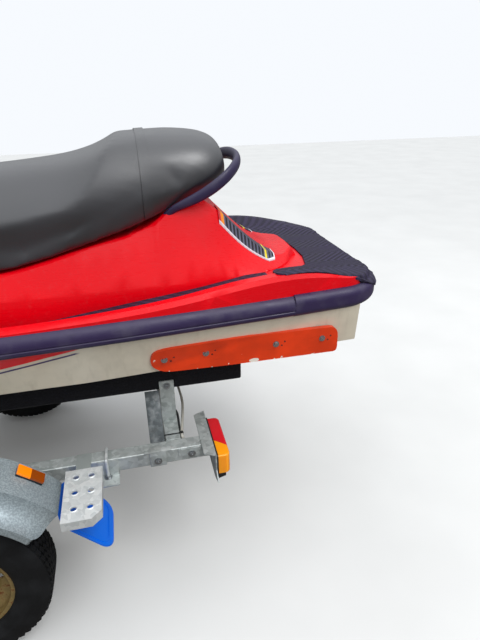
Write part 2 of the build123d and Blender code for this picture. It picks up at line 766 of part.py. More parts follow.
# Engine and drive, one plain block between the hull and the seat
with BuildPart() as engine_block:
    with BuildSketch(Plane.YZ.offset(-560)):
        Polygon((-140, 1000), (140, 1000), (140, 664), (40, 614), (-40, 614), (-140, 664), align=None)
    extrude(amount=420)
    add(hull.part, mode=Mode.SUBTRACT)
save(engine_block, "engine_block")

# Jet pump: housing with its outlet cone, impeller, steering nozzle, ride plate and intake grate
OUTLET_RADIUS = 50.0
NOZZLE_BORE = 66.0
NOZZLE_WALL = 6.0
EAR_TOP = NOZZLE_BORE + NOZZLE_WALL
PIVOT_RADIUS = 8.0
with BuildPart() as pump_housing:
    with BuildSketch(Plane.XZ):
        with BuildLine():
            Polyline((-1540, DUCT_RADIUS), (-1540, 106), (-1556, 106), (-1556, PUMP_RADIUS),
                     (-1786, PUMP_RADIUS), (-1832, OUTLET_RADIUS), (-1858, OUTLET_RADIUS),
                     (-1858, OUTLET_RADIUS - 7), (-1832, OUTLET_RADIUS - 7), (-1786, DUCT_RADIUS), close=True)
        make_face()
    revolve(axis=Axis.X)
    with BuildSketch(Plane.YZ.offset(-1790)):
        Circle(30)
    extrude(amount=140)
    with BuildSketch(Plane.YZ.offset(-1780)):
        for angle in (45, 135):
            Rectangle(2 * DUCT_RADIUS + 6, 5, rotation=angle)
    extrude(amount=110)
    with BuildSketch(Plane.YZ.offset(-1700)):
        Circle(12.3)
    extrude(amount=60, mode=Mode.SUBTRACT)
    for start in (OUTLET_RADIUS - 3, -EAR_TOP - 4):
        with BuildSketch(Plane.XY.offset(start)):
            with Locations((NOZZLE_PIVOT_X, 0)):
                Circle(PIVOT_RADIUS)
        extrude(amount=EAR_TOP + 7 - OUTLET_RADIUS)
pump_housing.part = pump_housing.part.moved(Location((0, 0, PUMP_Z)))
save(pump_housing, "pump_housing")

# Impeller on its stub shaft: x of its middle, and how far the three blades reach
IMPELLER_X = -1612.0
BLADE_REACH = DUCT_RADIUS - 5.5
BLADES = 3
with BuildPart() as impeller_blade:
    with BuildSketch(Plane.XY.offset(20)):
        Rectangle(60, 5, rotation=40)
    with BuildSketch(Plane.XY.offset(BLADE_REACH + 2)):
        Rectangle(72, 4, rotation=60)
    loft()
    with BuildSketch(Plane.YZ.offset(-60)):
        Circle(BLADE_REACH)
    extrude(amount=120, mode=Mode.INTERSECT)

with BuildPart() as impeller:
    with BuildSketch(Plane.YZ.offset(-32)):
        Circle(28)
    extrude(amount=56)
    with BuildSketch(Plane.YZ.offset(-84)):
        Circle(12)
    extrude(amount=54)
    with BuildSketch(Plane.YZ.offset(24)):
        Circle(28)
    with BuildSketch(Plane.YZ.offset(60)):
        Circle(10)
    loft()
    for turn in range(BLADES):
        add(impeller_blade.part.rotate(Axis.X, 360 / BLADES * turn))
impeller.part = impeller.part.moved(Location((IMPELLER_X, 0, PUMP_Z)))
save(impeller, "impeller")

with BuildPart() as steering_nozzle:
    with BuildSketch(Plane.XZ):
        with BuildLine():
            Polyline((-14, NOZZLE_BORE), (-14, EAR_TOP), (-34, EAR_TOP), (-96, 52), (-96, 46),
                     (-34, NOZZLE_BORE), close=True)
        make_face()
    revolve(axis=Axis.X)
    for start in (NOZZLE_BORE, -EAR_TOP):
        with BuildSketch(Plane.XY.offset(start)):
            with Locations((-8, 0)):
                SlotCenterToCenter(28, 30)
            Circle(PIVOT_RADIUS + 0.4, mode=Mode.SUBTRACT)
        extrude(amount=NOZZLE_WALL)
    with BuildSketch(Plane.XY.offset(-5)):
        Polygon((-46, 62), (-20, 88), (-8, 88), (-16, 64), align=None)
    extrude(amount=10)
steering_nozzle.part = steering_nozzle.part.moved(Location((NOZZLE_PIVOT_X, 0, PUMP_Z)))
save(steering_nozzle, "steering_nozzle")

with BuildPart() as ride_plate:
    with BuildSketch(Plane.YZ.offset(-1900)):
        Polygon((-TUNNEL_RADIUS, 632), (-TUNNEL_RADIUS, 624), (-80, 592), (-30, 584), (30, 584), (80, 592),
                (TUNNEL_RADIUS, 624), (TUNNEL_RADIUS, 632), (76, 600), (30, 592), (-30, 592), (-76, 600),
                align=None)
    extrude(amount=340)
    with BuildSketch(Plane.YZ.offset(-1860)):
        for side in SIDES:
            with Locations((side * (TUNNEL_RADIUS - 3), 646)):
                Rectangle(6, 36)
    extrude(amount=300)
save(ride_plate, "ride_plate")

GRATE_BARS = 5
with BuildPart() as intake_grate:
    with BuildSketch(Plane.YZ.offset(-1520)):
        with GridLocations(30, 0, GRATE_BARS, 1):
            with Locations((0, 604)):
                Rectangle(6, 12)
    extrude(amount=366)
    with BuildSketch(Plane.XY.offset(604)):
        for x in (-1508, -1162):
            with Locations((x, 0)):
                Rectangle(24, 2 * DUCT_RADIUS)
    extrude(amount=8)
    add(hull.part, mode=Mode.SUBTRACT)
save(intake_grate, "intake_grate")

# Towing eye on the stem and two tie-down eyes on the transom
EYE_BORE = 9.0
BOW_EYE = (628.0, 792.0)
with BuildPart() as bow_eye:
    with BuildSketch(Plane.XZ.offset(-6)):
        with Locations(BOW_EYE):
            Circle(20)
        with BuildLine():
            Polyline((BOW_EYE[0] - 16, BOW_EYE[1] - 12), (BOW_EYE[0] + 14, BOW_EYE[1] + 14), (600, 850),
                     (560, 800), close=True)
        make_face()
        with Locations(BOW_EYE):
            Circle(EYE_BORE, mode=Mode.SUBTRACT)
    extrude(amount=12)
    add(hull.part, mode=Mode.SUBTRACT)
    add(hull_cavity.part, mode=Mode.SUBTRACT)
save(bow_eye, "bow_eye")

STERN_EYE = (-1892.0, 250.0, 812.0)
with BuildPart() as stern_eyes:
    with BuildSketch(Plane.XZ.offset(-STERN_EYE[1] - 6)):
        with Locations((STERN_EYE[0], STERN_EYE[2])):
            Circle(19)
        with Locations((STERN_EYE[0] + 12, STERN_EYE[2])):
            Rectangle(24, 38)
        with Locations((STERN_EYE[0], STERN_EYE[2])):
            Circle(EYE_BORE, mode=Mode.SUBTRACT)
    extrude(amount=12)
    mirror(about=Plane.XZ)
save(stern_eyes, "stern_eyes")


def bar_face(points, width):
    with BuildSketch() as face:
        Polygon(*tube_path(points, width), align=None)
    return face.sketch


# Trailer frame of galvanised square tube: two side rails bent in to the drawbar, and two cross members
for side, name in zip(SIDES, ("port", "starboard")):
    line = [(RAIL_REAR_X, side * RAIL_Y), (RAIL_BEND_X, side * RAIL_Y), (RAIL_FRONT_X, 0)]
    inner_line = [(RAIL_REAR_X - 20, side * RAIL_Y), (RAIL_BEND_X, side * RAIL_Y), (RAIL_FRONT_X, 0)]
    with BuildPart() as side_rail:
        with BuildSketch(Plane.XY.offset(FRAME_TOP - RAIL_TUBE)):
            add(bar_face(line, RAIL_TUBE))
        extrude(amount=RAIL_TUBE)
        with BuildSketch(Plane.XY.offset(FRAME_TOP - RAIL_TUBE + TUBE_WALL)):
            add(bar_face(inner_line, RAIL_TUBE - 2 * TUBE_WALL))
        extrude(amount=RAIL_TUBE - 2 * TUBE_WALL, mode=Mode.SUBTRACT)
        with BuildSketch(Plane.XY.offset(FRAME_TOP - 100)):
            with Locations((RAIL_FRONT_X, DRAWBAR_TUBE / 2 * side - side * 200)):
                Rectangle(600, 400)
        extrude(amount=200, mode=Mode.SUBTRACT)
    save(side_rail, f"side_rail_{name}")

for x, name in zip(CROSS_X, ("rear", "front")):
    with BuildPart() as cross_member:
        with BuildSketch(Plane.XZ.offset(-(RAIL_Y - RAIL_TUBE / 2))):
            with Locations((x, FRAME_TOP - RAIL_TUBE / 2)):
                Rectangle(RAIL_TUBE, RAIL_TUBE)
                Rectangle(RAIL_TUBE - 2 * TUBE_WALL, RAIL_TUBE - 2 * TUBE_WALL, mode=Mode.SUBTRACT)
        extrude(amount=2 * RAIL_Y - RAIL_TUBE)
    save(cross_member, f"cross_member_{name}")

DRAWBAR_REAR_X = CROSS_X[1] + RAIL_TUBE / 2
with BuildPart() as drawbar:
    with BuildSketch(Plane.YZ.offset(DRAWBAR_REAR_X)):
        with Locations((0, FRAME_TOP - DRAWBAR_TUBE / 2)):
            Rectangle(DRAWBAR_TUBE, DRAWBAR_TUBE)
            Rectangle(DRAWBAR_TUBE - 2 * TUBE_WALL, DRAWBAR_TUBE - 2 * TUBE_WALL, mode=Mode.SUBTRACT)
    extrude(amount=DRAWBAR_FRONT_X - DRAWBAR_REAR_X)
save(drawbar, "drawbar")

# Rubber-sprung axle: beam under the rails, a trailing arm and a spindle at each end
AXLE_BEAM_X = -395.0
AXLE_BEAM_Z = 420.0
BEAM_HALF = 500.0
ARM_THICK = 16.0
SPINDLE_RADIUS = 16.0
HUB_FACE_Y = 694.0
arm_turn = degrees(atan2(AXLE_BEAM_Z - AXLE_Z, AXLE_BEAM_X - AXLE_X))
arm_length = hypot(AXLE_BEAM_Z - AXLE_Z, AXLE_BEAM_X - AXLE_X)
with BuildPart() as axle:
    with BuildSketch(Plane.XZ.offset(-BEAM_HALF)):
        with Locations((AXLE_BEAM_X, AXLE_BEAM_Z)):
            Rectangle(60, 60)
            Rectangle(50, 50, mode=Mode.SUBTRACT)
    extrude(amount=2 * BEAM_HALF)
    with BuildSketch(Plane.XZ.offset(-BEAM_HALF - ARM_THICK)):
        with Locations(Location(((AXLE_BEAM_X + AXLE_X) / 2, (AXLE_BEAM_Z + AXLE_Z) / 2), arm_turn)):
            SlotCenterToCenter(arm_length, 64)
    extrude(amount=ARM_THICK)
    with BuildSketch(Plane.XZ.offset(-HUB_FACE_Y + 12)):
        with Locations((AXLE_X, AXLE_Z)):
            Circle(SPINDLE_RADIUS)
    extrude(amount=HUB_FACE_Y - 12 - BEAM_HALF - ARM_THICK)
    mirror(about=Plane.XZ)
save(axle, "axle")

# Wheels: pressed steel rim with its hub, and the tyre, both turned about the spindle
RIM_HALF = 52.0
HUB_RADIUS = 66.0
wheel_axis = Axis((0, 0, 0), (0, 1, 0))
with BuildPart() as rim_form:
    with BuildSketch(Plane.YZ):
        with BuildLine():
            Polyline(
                (-RIM_HALF, 152), (-RIM_HALF, 168), (-47, 168), (-47, 156), (-20, 156), (-13, 138), (13, 138),
                (20, 156), (47, 156), (47, 168), (RIM_HALF, 168), (RIM_HALF, 152), (24, 151), (17, 132),
                (12, 120), (28, 94), (20, 74), (20, HUB_RADIUS), (34, 40), (57, 34), (57, 0), (50, 0),
                (50, SPINDLE_RADIUS + 0.4), (-88, SPINDLE_RADIUS + 0.4), (-88, HUB_RADIUS), (-50, HUB_RADIUS),
                (-50, 74), (14, 74), (22, 93), (6, 118), (6, 132), (-17, 132), (-24, 151), close=True,
            )
        make_face()
    revolve(axis=wheel_axis)
    with BuildSketch(Plane.XZ.offset(-40)):
        with PolarLocations(118, 8):
            Circle(11)
    extrude(amount=80, mode=Mode.SUBTRACT)

TYRE_OUTER = AXLE_Z
with BuildPart() as tyre_form:
    with BuildSketch(Plane.YZ):
        with BuildLine():
            half = TYRE_WIDTH / 2
            Line((-46, RIM_RADIUS + 8), (-46, RIM_RADIUS - 3.5))
            Polyline((-46, RIM_RADIUS - 3.5), (-22, RIM_RADIUS - 3.5), (-22, 176), (22, 176),
                     (22, RIM_RADIUS - 3.5), (46, RIM_RADIUS - 3.5), (46, RIM_RADIUS + 8))
            Polyline((46, RIM_RADIUS + 8), (58, RIM_RADIUS + 12))
            ThreePointArc((58, RIM_RADIUS + 12), (half, 212), (62, TYRE_OUTER - 14))
            ThreePointArc((62, TYRE_OUTER - 14), (56, TYRE_OUTER - 4), (44, TYRE_OUTER))
            Line((44, TYRE_OUTER), (-44, TYRE_OUTER))
            ThreePointArc((-44, TYRE_OUTER), (-56, TYRE_OUTER - 4), (-62, TYRE_OUTER - 14))
            ThreePointArc((-62, TYRE_OUTER - 14), (-half, 212), (-58, RIM_RADIUS + 12))
            Line((-58, RIM_RADIUS + 12), (-46, RIM_RADIUS + 8))
        make_face()
    revolve(axis=wheel_axis)

for side, name in zip(SIDES, ("port", "starboard")):
    for form, piece in ((rim_form, "wheel"), (tyre_form, "tyre")):
        place = Location((AXLE_X, side * WHEEL_Y, AXLE_Z))
        with BuildPart() as turned:
            add(form.part.rotate(Axis.Z, 0 if side > 0 else 180).moved(place))
        save(turned, f"{piece}_{name}")

# Mudguards: pressed steel arcs with a rolled outer lip
FENDER_START = 20.0
FENDER_END = 145.0
FENDER_SHEET = 3.0
FENDER_ROLL = 58.0
FENDER_SKIRT = 78.0
FENDER_BEAD = 4.0
FENDER_CORNER = 50.0
with BuildPart() as fender_form:
    with BuildSketch():
        with BuildLine():
            outer_x, outer_y = FENDER_RADIUS, FENDER_OUTER_Y
            inner_x, inner_y = FENDER_RADIUS - FENDER_SHEET, FENDER_OUTER_Y - FENDER_SHEET
            roll = FENDER_ROLL - FENDER_SHEET
            Line((outer_x, FENDER_INNER_Y), (outer_x, outer_y - FENDER_ROLL))
            RadiusArc((outer_x, outer_y - FENDER_ROLL), (outer_x - FENDER_ROLL, outer_y), FENDER_ROLL)
            Polyline((outer_x - FENDER_ROLL, outer_y), (outer_x - FENDER_SKIRT, outer_y),
                     (outer_x - FENDER_SKIRT, inner_y), (inner_x - roll, inner_y))
            RadiusArc((inner_x - roll, inner_y), (inner_x, inner_y - roll), -roll)
            Polyline((inner_x, inner_y - roll), (inner_x, FENDER_INNER_Y), (outer_x, FENDER_INNER_Y))
        make_face()
        with Locations((outer_x - FENDER_SKIRT, outer_y - FENDER_BEAD)):
            Circle(FENDER_BEAD)
    revolve(axis=Axis.Y, revolution_arc=FENDER_START - FENDER_END)
    # The rounded outer corners of both ends
    for end, into in ((0.0, 1), (FENDER_END - FENDER_START, -1)):
        reach = FENDER_RADIUS - 40.0
        with BuildSketch(Plane(origin=(reach * cos(radians(end)), 0, reach * sin(radians(end))), x_dir=(0, 1, 0),
                               z_dir=(cos(radians(end)), 0, sin(radians(end))))):
            with BuildLine():
                corner_y = FENDER_OUTER_Y + 6
                Polyline((corner_y - FENDER_CORNER, 0), (corner_y - FENDER_CORNER, -into * 30),
                         (corner_y + 10, -into * 30), (corner_y + 10, into * FENDER_CORNER),
                         (corner_y, into * FENDER_CORNER))
                RadiusArc((corner_y, into * FENDER_CORNER), (corner_y - FENDER_CORNER, 0), into * FENDER_CORNER)
            make_face()
        extrude(amount=70, both=True, mode=Mode.SUBTRACT)
fender_port_part = fender_form.part.rotate(Axis.Y, -FENDER_START).moved(Location((AXLE_X, 0, AXLE_Z)))
for side, name in zip(SIDES, ("port", "starboard")):
    with BuildPart() as fender:
        add(fender_port_part if side > 0 else fender_port_part.mirror(Plane.XZ))
    save(fender, f"mudguard_{name}")

# Flat steel stays from the rails up to the mudguards
STAY_REACH = 230.0
stay_top = AXLE_Z + sqrt((FENDER_RADIUS - 3)**2 - STAY_REACH**2)
with BuildPart() as mudguard_stays:
    with BuildSketch(Plane.XY.offset(FRAME_TOP)):
        for reach in (-STAY_REACH, STAY_REACH):
            with Locations((AXLE_X + reach, (RAIL_Y - 10 + 562) / 2)):
                Rectangle(40, 562 - RAIL_Y + 10)
    extrude(amount=5)
    with BuildSketch(Plane.XY.offset(FRAME_TOP)):
        for reach in (-STAY_REACH, STAY_REACH):
            with Locations((AXLE_X + reach, 559.5)):
                Rectangle(40, 5)
    extrude(amount=stay_top - FRAME_TOP + 30)
    mirror(about=Plane.XZ)
    add(fender_port_part, mode=Mode.SUBTRACT)
    add(fender_port_part.mirror(Plane.XZ), mode=Mode.SUBTRACT)
    with BuildSketch(Plane.XZ.offset(-700)):
        with Locations((AXLE_X, AXLE_Z)):
            Circle(FENDER_RADIUS + 80)
            Circle(FENDER_RADIUS - 1, mode=Mode.SUBTRACT)
    extrude(amount=1400, mode=Mode.SUBTRACT)
save(mudguard_stays, "mudguard_stays")

# Mud flaps hung from the tail of each mudguard
FLAP_SLOPE = 46.0
FLAP_TOP = (-858.0, 476.0)
FLAP_Y = (518.0, 704.0)
FLAP_LENGTH = 198.0
flap_plane = Plane(origin=(FLAP_TOP[0], sum(FLAP_Y) / 2, FLAP_TOP[1]), x_dir=(0, 1, 0),
                   z_dir=(-sin(radians(FLAP_SLOPE)), 0, cos(radians(FLAP_SLOPE))))


def flap_outline(shrink):
    half = (FLAP_Y[1] - FLAP_Y[0]) / 2 - shrink
    low = FLAP_LENGTH - shrink
    with BuildSketch(flap_plane) as outline:
        with BuildLine():
            FilletPolyline((-half, shrink), (half, shrink), (half, low), (-half, low), radius=46 - shrink, close=True)
        make_face()
    return outline.sketch


with BuildPart() as mud_flaps:
    add(flap_outline(0))
    extrude(amount=6)
    with BuildPart() as raised_rim:
        add(flap_outline(10))
        extrude(amount=9)
        add(flap_outline(17))
        extrude(amount=9, mode=Mode.SUBTRACT)
    add(raised_rim.part)
    mirror(about=Plane.XZ)
    add(fender_port_part, mode=Mode.SUBTRACT)
    add(fender_port_part.mirror(Plane.XZ), mode=Mode.SUBTRACT)
save(mud_flaps, "mud_flaps")

# Step plates with drain holes, bracketed to the rails behind the wheels
STEP_X = (-986.0, -880.0)
STEP_Y = (556.0, 760.0)
STEP_Z = 530.0
with BuildPart() as step_plates:
    with BuildSketch(Plane.XY.offset(STEP_Z - 28)):
        Polygon((STEP_X[0], STEP_Y[0]), (STEP_X[1], STEP_Y[0]), (STEP_X[1], STEP_Y[1]),
                (STEP_X[0] + 26, STEP_Y[1]), (STEP_X[0], STEP_Y[1] - 26), align=None)
    extrude(amount=28)
    with BuildSketch(Plane.XY.offset(STEP_Z - 32)):
        Polygon((STEP_X[0] + 4, STEP_Y[0] + 4), (STEP_X[1] - 4, STEP_Y[0] + 4), (STEP_X[1] - 4, STEP_Y[1] - 4),
                (STEP_X[0] + 28, STEP_Y[1] - 4), (STEP_X[0] + 4, STEP_Y[1] - 28), align=None)
    extrude(amount=28, mode=Mode.SUBTRACT)
    with BuildSketch(Plane.XY.offset(STEP_Z - 10)):
        with Locations((sum(STEP_X) / 2, sum(STEP_Y) / 2 - 6)):
            with GridLocations(44, 62, 2, 3):
                Circle(8.5)
    extrude(amount=20, mode=Mode.SUBTRACT)
    with BuildSketch(Plane.XY.offset(FRAME_TOP)):
        with Locations((-925, (RAIL_Y - 18 + STEP_Y[0] + 4) / 2)):
            Rectangle(44, STEP_Y[0] + 4 - RAIL_Y + 18)
    extrude(amount=5)
    mirror(about=Plane.XZ)
    add(fender_port_part, mode=Mode.SUBTRACT)
    add(fender_port_part.mirror(Plane.XZ), mode=Mode.SUBTRACT)
save(step_plates, "step_plates")

# Reflectors on top of the mudguards
REFLECTOR_ANGLE = 129.5
REFLECTOR_Y = 596.0
outward = (cos(radians(REFLECTOR_ANGLE)), sin(radians(REFLECTOR_ANGLE)))
reflector_seat = Plane(
    origin=(AXLE_X + FENDER_RADIUS * outward[0], REFLECTOR_Y, AXLE_Z + FENDER_RADIUS * outward[1]),
    x_dir=(0, 1, 0), z_dir=(outward[0], 0, outward[1]),
)
with BuildPart() as reflectors:
    with BuildSketch(reflector_seat.offset(-4)):
        RectangleRounded(38, 80, 3)
    extrude(amount=15)
    mirror(about=Plane.XZ)
    add(fender_port_part, mode=Mode.SUBTRACT)
    add(fender_port_part.mirror(Plane.XZ), mode=Mode.SUBTRACT)
    with BuildSketch(Plane.XZ.offset(-700)):
        with Locations((AXLE_X, AXLE_Z)):
            Circle(FENDER_RADIUS - 2)
    extrude(amount=1400, mode=Mode.SUBTRACT)
save(reflectors, "reflectors")

# Carpeted bunks that follow the hull bottom, on brackets that stand on the cross members
BUNK_X = (-1473.0, 250.0)
BUNK_LOW = 625.0
with BuildPart() as bunks:
    with BuildSketch(Plane.YZ.offset(BUNK_X[0])):
        with Locations((BUNK_Y, BUNK_LOW + 60)):
            Rectangle(BUNK_WIDTH, 120)
    extrude(amount=BUNK_X[1] - BUNK_X[0])
    mirror(about=Plane.XZ)
    with BuildSketch(Plane.YZ.offset(-1600)):
        with BuildLine():
            Polyline((0, 598), (400, 770), (400, 900), (-400, 900), (-400, 770), (0, 598))
        make_face()
    extrude(amount=1400, mode=Mode.SUBTRACT)
    add(hull.part, mode=Mode.SUBTRACT)
    add(hull_cavity.part, mode=Mode.SUBTRACT)
save(bunks, "bunks")

with BuildPart() as bunk_brackets:
    for x in CROSS_X:
        with BuildSketch(Plane.XY.offset(FRAME_TOP)):
            with Locations((x, BUNK_Y)):
                Rectangle(50, BUNK_WIDTH + 12)
                Rectangle(50, BUNK_WIDTH, mode=Mode.SUBTRACT)
        extrude(amount=BUNK_LOW + 34 - FRAME_TOP)
        with BuildSketch(Plane.XY.offset(BUNK_LOW - 6)):
            with Locations((x, BUNK_Y)):
                Rectangle(50, BUNK_WIDTH)
        extrude(amount=6)
        with BuildSketch(Plane.XY.offset(FRAME_TOP)):
            with Locations((x, BUNK_Y)):
                Rectangle(50, BUNK_WIDTH)
        extrude(amount=6)
    mirror(about=Plane.XZ)
save(bunk_brackets, "bunk_brackets")

# U-bolts that clamp the bracket plates to the rails
UBOLT_X = -1010.0
with BuildPart() as u_bolts:
    with BuildSketch(Plane.XY.offset(FRAME_TOP)):
        with Locations((UBOLT_X, RAIL_Y)):
            Rectangle(36, 82)
    extrude(amount=6)
    with BuildSketch(Plane.XY.offset(FRAME_TOP - RAIL_TUBE - 10)):
        with Locations((UBOLT_X, RAIL_Y)):
            Rectangle(14, RAIL_TUBE + 20)
    extrude(amount=10)
    with BuildSketch(Plane.XY.offset(FRAME_TOP - RAIL_TUBE - 10)):
        for side in SIDES:
            with Locations((UBOLT_X, RAIL_Y + side * (RAIL_TUBE / 2 + 5))):
                Circle(5)
    extrude(amount=RAIL_TUBE + 32)
    mirror(about=Plane.XZ)
save(u_bolts, "u_bolts")

# Lamp brackets across the ends of the rails, with a housing and two lenses each
LAMP_Y = (318.0, 600.0)
LAMP_Z = (404.0, 500.0)
BRACKET_THICK = 4.0
with BuildPart() as lamp_brackets:
    with BuildSketch(Plane.YZ.offset(RAIL_REAR_X - BRACKET_THICK)):
        Polygon((LAMP_Y[0], LAMP_Z[1] + 4), (LAMP_Y[1] - 34, LAMP_Z[1] + 4), (LAMP_Y[1] - 34, LAMP_Z[0] + 40),
                (LAMP_Y[1], LAMP_Z[0] + 16), (LAMP_Y[1] - 60, LAMP_Z[0] - 8), (LAMP_Y[0] + 30, LAMP_Z[0]),
                (LAMP_Y[0], LAMP_Z[0] + 30), align=None)
    extrude(amount=BRACKET_THICK)
    with BuildSketch(Plane.XY.offset(LAMP_Z[1])):
        Polygon((RAIL_REAR_X, LAMP_Y[0]), (RAIL_REAR_X + 34, LAMP_Y[0] + 16), (RAIL_REAR_X + 34, LAMP_Y[1] - 50),
                (RAIL_REAR_X, LAMP_Y[1] - 34), align=None)
    extrude(amount=BRACKET_THICK)
    with BuildSketch(Plane.XZ.offset(-RAIL_Y - RAIL_TUBE / 2 - BRACKET_THICK)):
        Polygon((RAIL_REAR_X, 454), (RAIL_REAR_X, 496), (RAIL_REAR_X + 110, 496), (RAIL_REAR_X + 110, 470),
                align=None)
    extrude(amount=BRACKET_THICK)
    mirror(about=Plane.XZ)
save(lamp_brackets, "lamp_brackets")

BACK_DEPTH = 6.0
LENS_DEPTH = 40.0
LENS_Y = (350.0, 558.0)
LENS_Z = (418.0, 492.0)
LENS_ROUND = 18.0
LAMP_SPLIT_Y = 494.0
SPLIT_LEAN = 18.0
lamp_back_x = RAIL_REAR_X - BRACKET_THICK
lens_x = lamp_back_x - BACK_DEPTH
with BuildPart() as lamp_housings:
    with BuildSketch(Plane.YZ.offset(lens_x)):
        with Locations((sum(LENS_Y) / 2, sum(LENS_Z) / 2)):
            RectangleRounded(LENS_Y[1] - LENS_Y[0] + 8, LENS_Z[1] - LENS_Z[0] + 8, 8)
    extrude(amount=BACK_DEPTH)
    with BuildSketch(Plane.XY.offset(LENS_Z[0] - 20)):
        Polygon((lamp_back_x, 480), (lens_x - 26, 490), (lens_x - 26, 546), (lamp_back_x, 556), align=None)
    extrude(amount=20)
    mirror(about=Plane.XZ)
save(lamp_housings, "lamp_housings")

for name, inboard in (("tail_lenses", True), ("indicator_lenses", False)):
    with BuildPart() as lenses:
        with BuildSketch(Plane.XY.offset(LENS_Z[0])):
            with Locations((lens_x, sum(LENS_Y) / 2)):
                RectangleRounded(2 * LENS_DEPTH, LENS_Y[1] - LENS_Y[0], LENS_ROUND)
            far_y = LENS_Y[0] - 10 if inboard else LENS_Y[1] + 10
            Polygon((lens_x, far_y), (lens_x, LAMP_SPLIT_Y - SPLIT_LEAN),
                    (lens_x - LENS_DEPTH - 1, LAMP_SPLIT_Y + SPLIT_LEAN), (lens_x - LENS_DEPTH - 1, far_y),
                    align=None, mode=Mode.INTERSECT)
        extrude(amount=LENS_Z[1] - LENS_Z[0])
        fillet(lenses.edges().filter_by(Plane.XY).filter_by(lambda e: e.center().X < lens_x - LENS_DEPTH + 2), 5)
        mirror(about=Plane.XZ)
    save(lenses, name)

# Winch post on the drawbar, with the bow stop
POST_TOP = 1010.0
ARM_Z = 872.0
with BuildPart() as winch_post:
    with BuildSketch(Plane.XY.offset(FRAME_TOP)):
        with Locations((POST_X, 0)):
            Rectangle(120, 90)
    extrude(amount=6)
    with BuildSketch(Plane.XY.offset(FRAME_TOP)):
        with Locations((POST_X, 0)):
            Rectangle(50, 50)
            Rectangle(44, 44, mode=Mode.SUBTRACT)
    extrude(amount=POST_TOP - FRAME_TOP)
    with BuildSketch(Plane.XY.offset(POST_TOP)):
        with Locations((POST_X + 8, 0)):
            Rectangle(120, 94)
    extrude(amount=5)
    with BuildSketch(Plane.YZ.offset(742)):
        with Locations((0, ARM_Z)):
            Rectangle(40, 40)
            Rectangle(34, 34, mode=Mode.SUBTRACT)
    extrude(amount=POST_X - 25 - 742)
    with BuildSketch(Plane.YZ.offset(736)):
        with Locations((0, ARM_Z)):
            Rectangle(90, 70)
    extrude(amount=6)
save(winch_post, "winch_post")

with BuildPart() as bow_stop:
    with BuildSketch(Plane.YZ.offset(660)):
        with Locations((0, ARM_Z)):
            RectangleRounded(100, 72, 10)
    extrude(amount=76)
    with BuildSketch(Plane.XY.offset(700)):
        Polygon((656, 90), (656, -90), (722, 0), align=None)
    extrude(amount=300, mode=Mode.SUBTRACT)
    add(hull.part, mode=Mode.SUBTRACT)
    add(hull_cavity.part, mode=Mode.SUBTRACT)
save(bow_stop, "bow_stop")

# Hand winch: frame, drum and geared crank
DRUM = (POST_X - 4.0, POST_TOP + 5.0 + 62.0)
PINION = (POST_X + 38.0, POST_TOP + 5.0 + 88.0)
WINCH_HALF = 40.0
SHAFT_RADIUS = 8.0
GEAR_RADIUS = 34.0
PINION_RADIUS = 14.0
GEAR_Y = 27.0
with BuildPart() as winch_frame:
    with BuildSketch(Plane.XY.offset(POST_TOP + 5)):
        with Locations((POST_X + 8, 0)):
            Rectangle(112, 2 * WINCH_HALF)
    extrude(amount=5)
    for start in (-WINCH_HALF, WINCH_HALF - 5):
        with BuildSketch(Plane.XZ.offset(start)):
            Polygon((POST_X - 48, POST_TOP + 5), (POST_X + 64, POST_TOP + 5), (POST_X + 62, POST_TOP + 96),
                    (POST_X + 40, POST_TOP + 118), (POST_X - 10, POST_TOP + 100), (POST_X - 34, POST_TOP + 76),
                    align=None)
            with Locations(DRUM, PINION):
                Circle(SHAFT_RADIUS + 0.3, mode=Mode.SUBTRACT)
        extrude(amount=5)
save(winch_frame, "winch_frame")

with BuildPart() as winch_drum:
    with BuildSketch(Plane.XZ.offset(-WINCH_HALF - 6)):
        with Locations(DRUM):
            Circle(SHAFT_RADIUS)
    extrude(amount=2 * WINCH_HALF + 12)
    with BuildSketch(Plane.XZ.offset(-GEAR_Y)):
        with Locations(DRUM):
            Circle(20)
    extrude(amount=2 * GEAR_Y)
    for start in (-GEAR_Y, GEAR_Y - 5):
        with BuildSketch(Plane.XZ.offset(start)):
            with Locations(DRUM):
                Circle(GEAR_RADIUS)
        extrude(amount=5)
save(winch_drum, "winch_drum")

CRANK_Y = -WINCH_HALF - 16.0
CRANK_LENGTH = 190.0
with BuildPart() as winch_crank:
    with BuildSketch(Plane.XZ.offset(-WINCH_HALF - 6)):
        with Locations(PINION):
            Circle(SHAFT_RADIUS)
    extrude(amount=2 * WINCH_HALF + 30)
    with BuildSketch(Plane.XZ.offset(GEAR_Y - 5)):
        with Locations(PINION):
            Circle(PINION_RADIUS)
    extrude(amount=5)
    with BuildSketch(Plane.XZ.offset(-CRANK_Y)):
        with Locations((PINION[0] + CRANK_LENGTH / 2, PINION[1])):
            SlotCenterToCenter(CRANK_LENGTH, 24)
    extrude(amount=6)
    with BuildSketch(Plane.XZ.offset(-CRANK_Y)):
        with Locations((PINION[0] + CRANK_LENGTH, PINION[1])):
            Circle(15)
    extrude(amount=104)
save(winch_crank, "winch_crank")

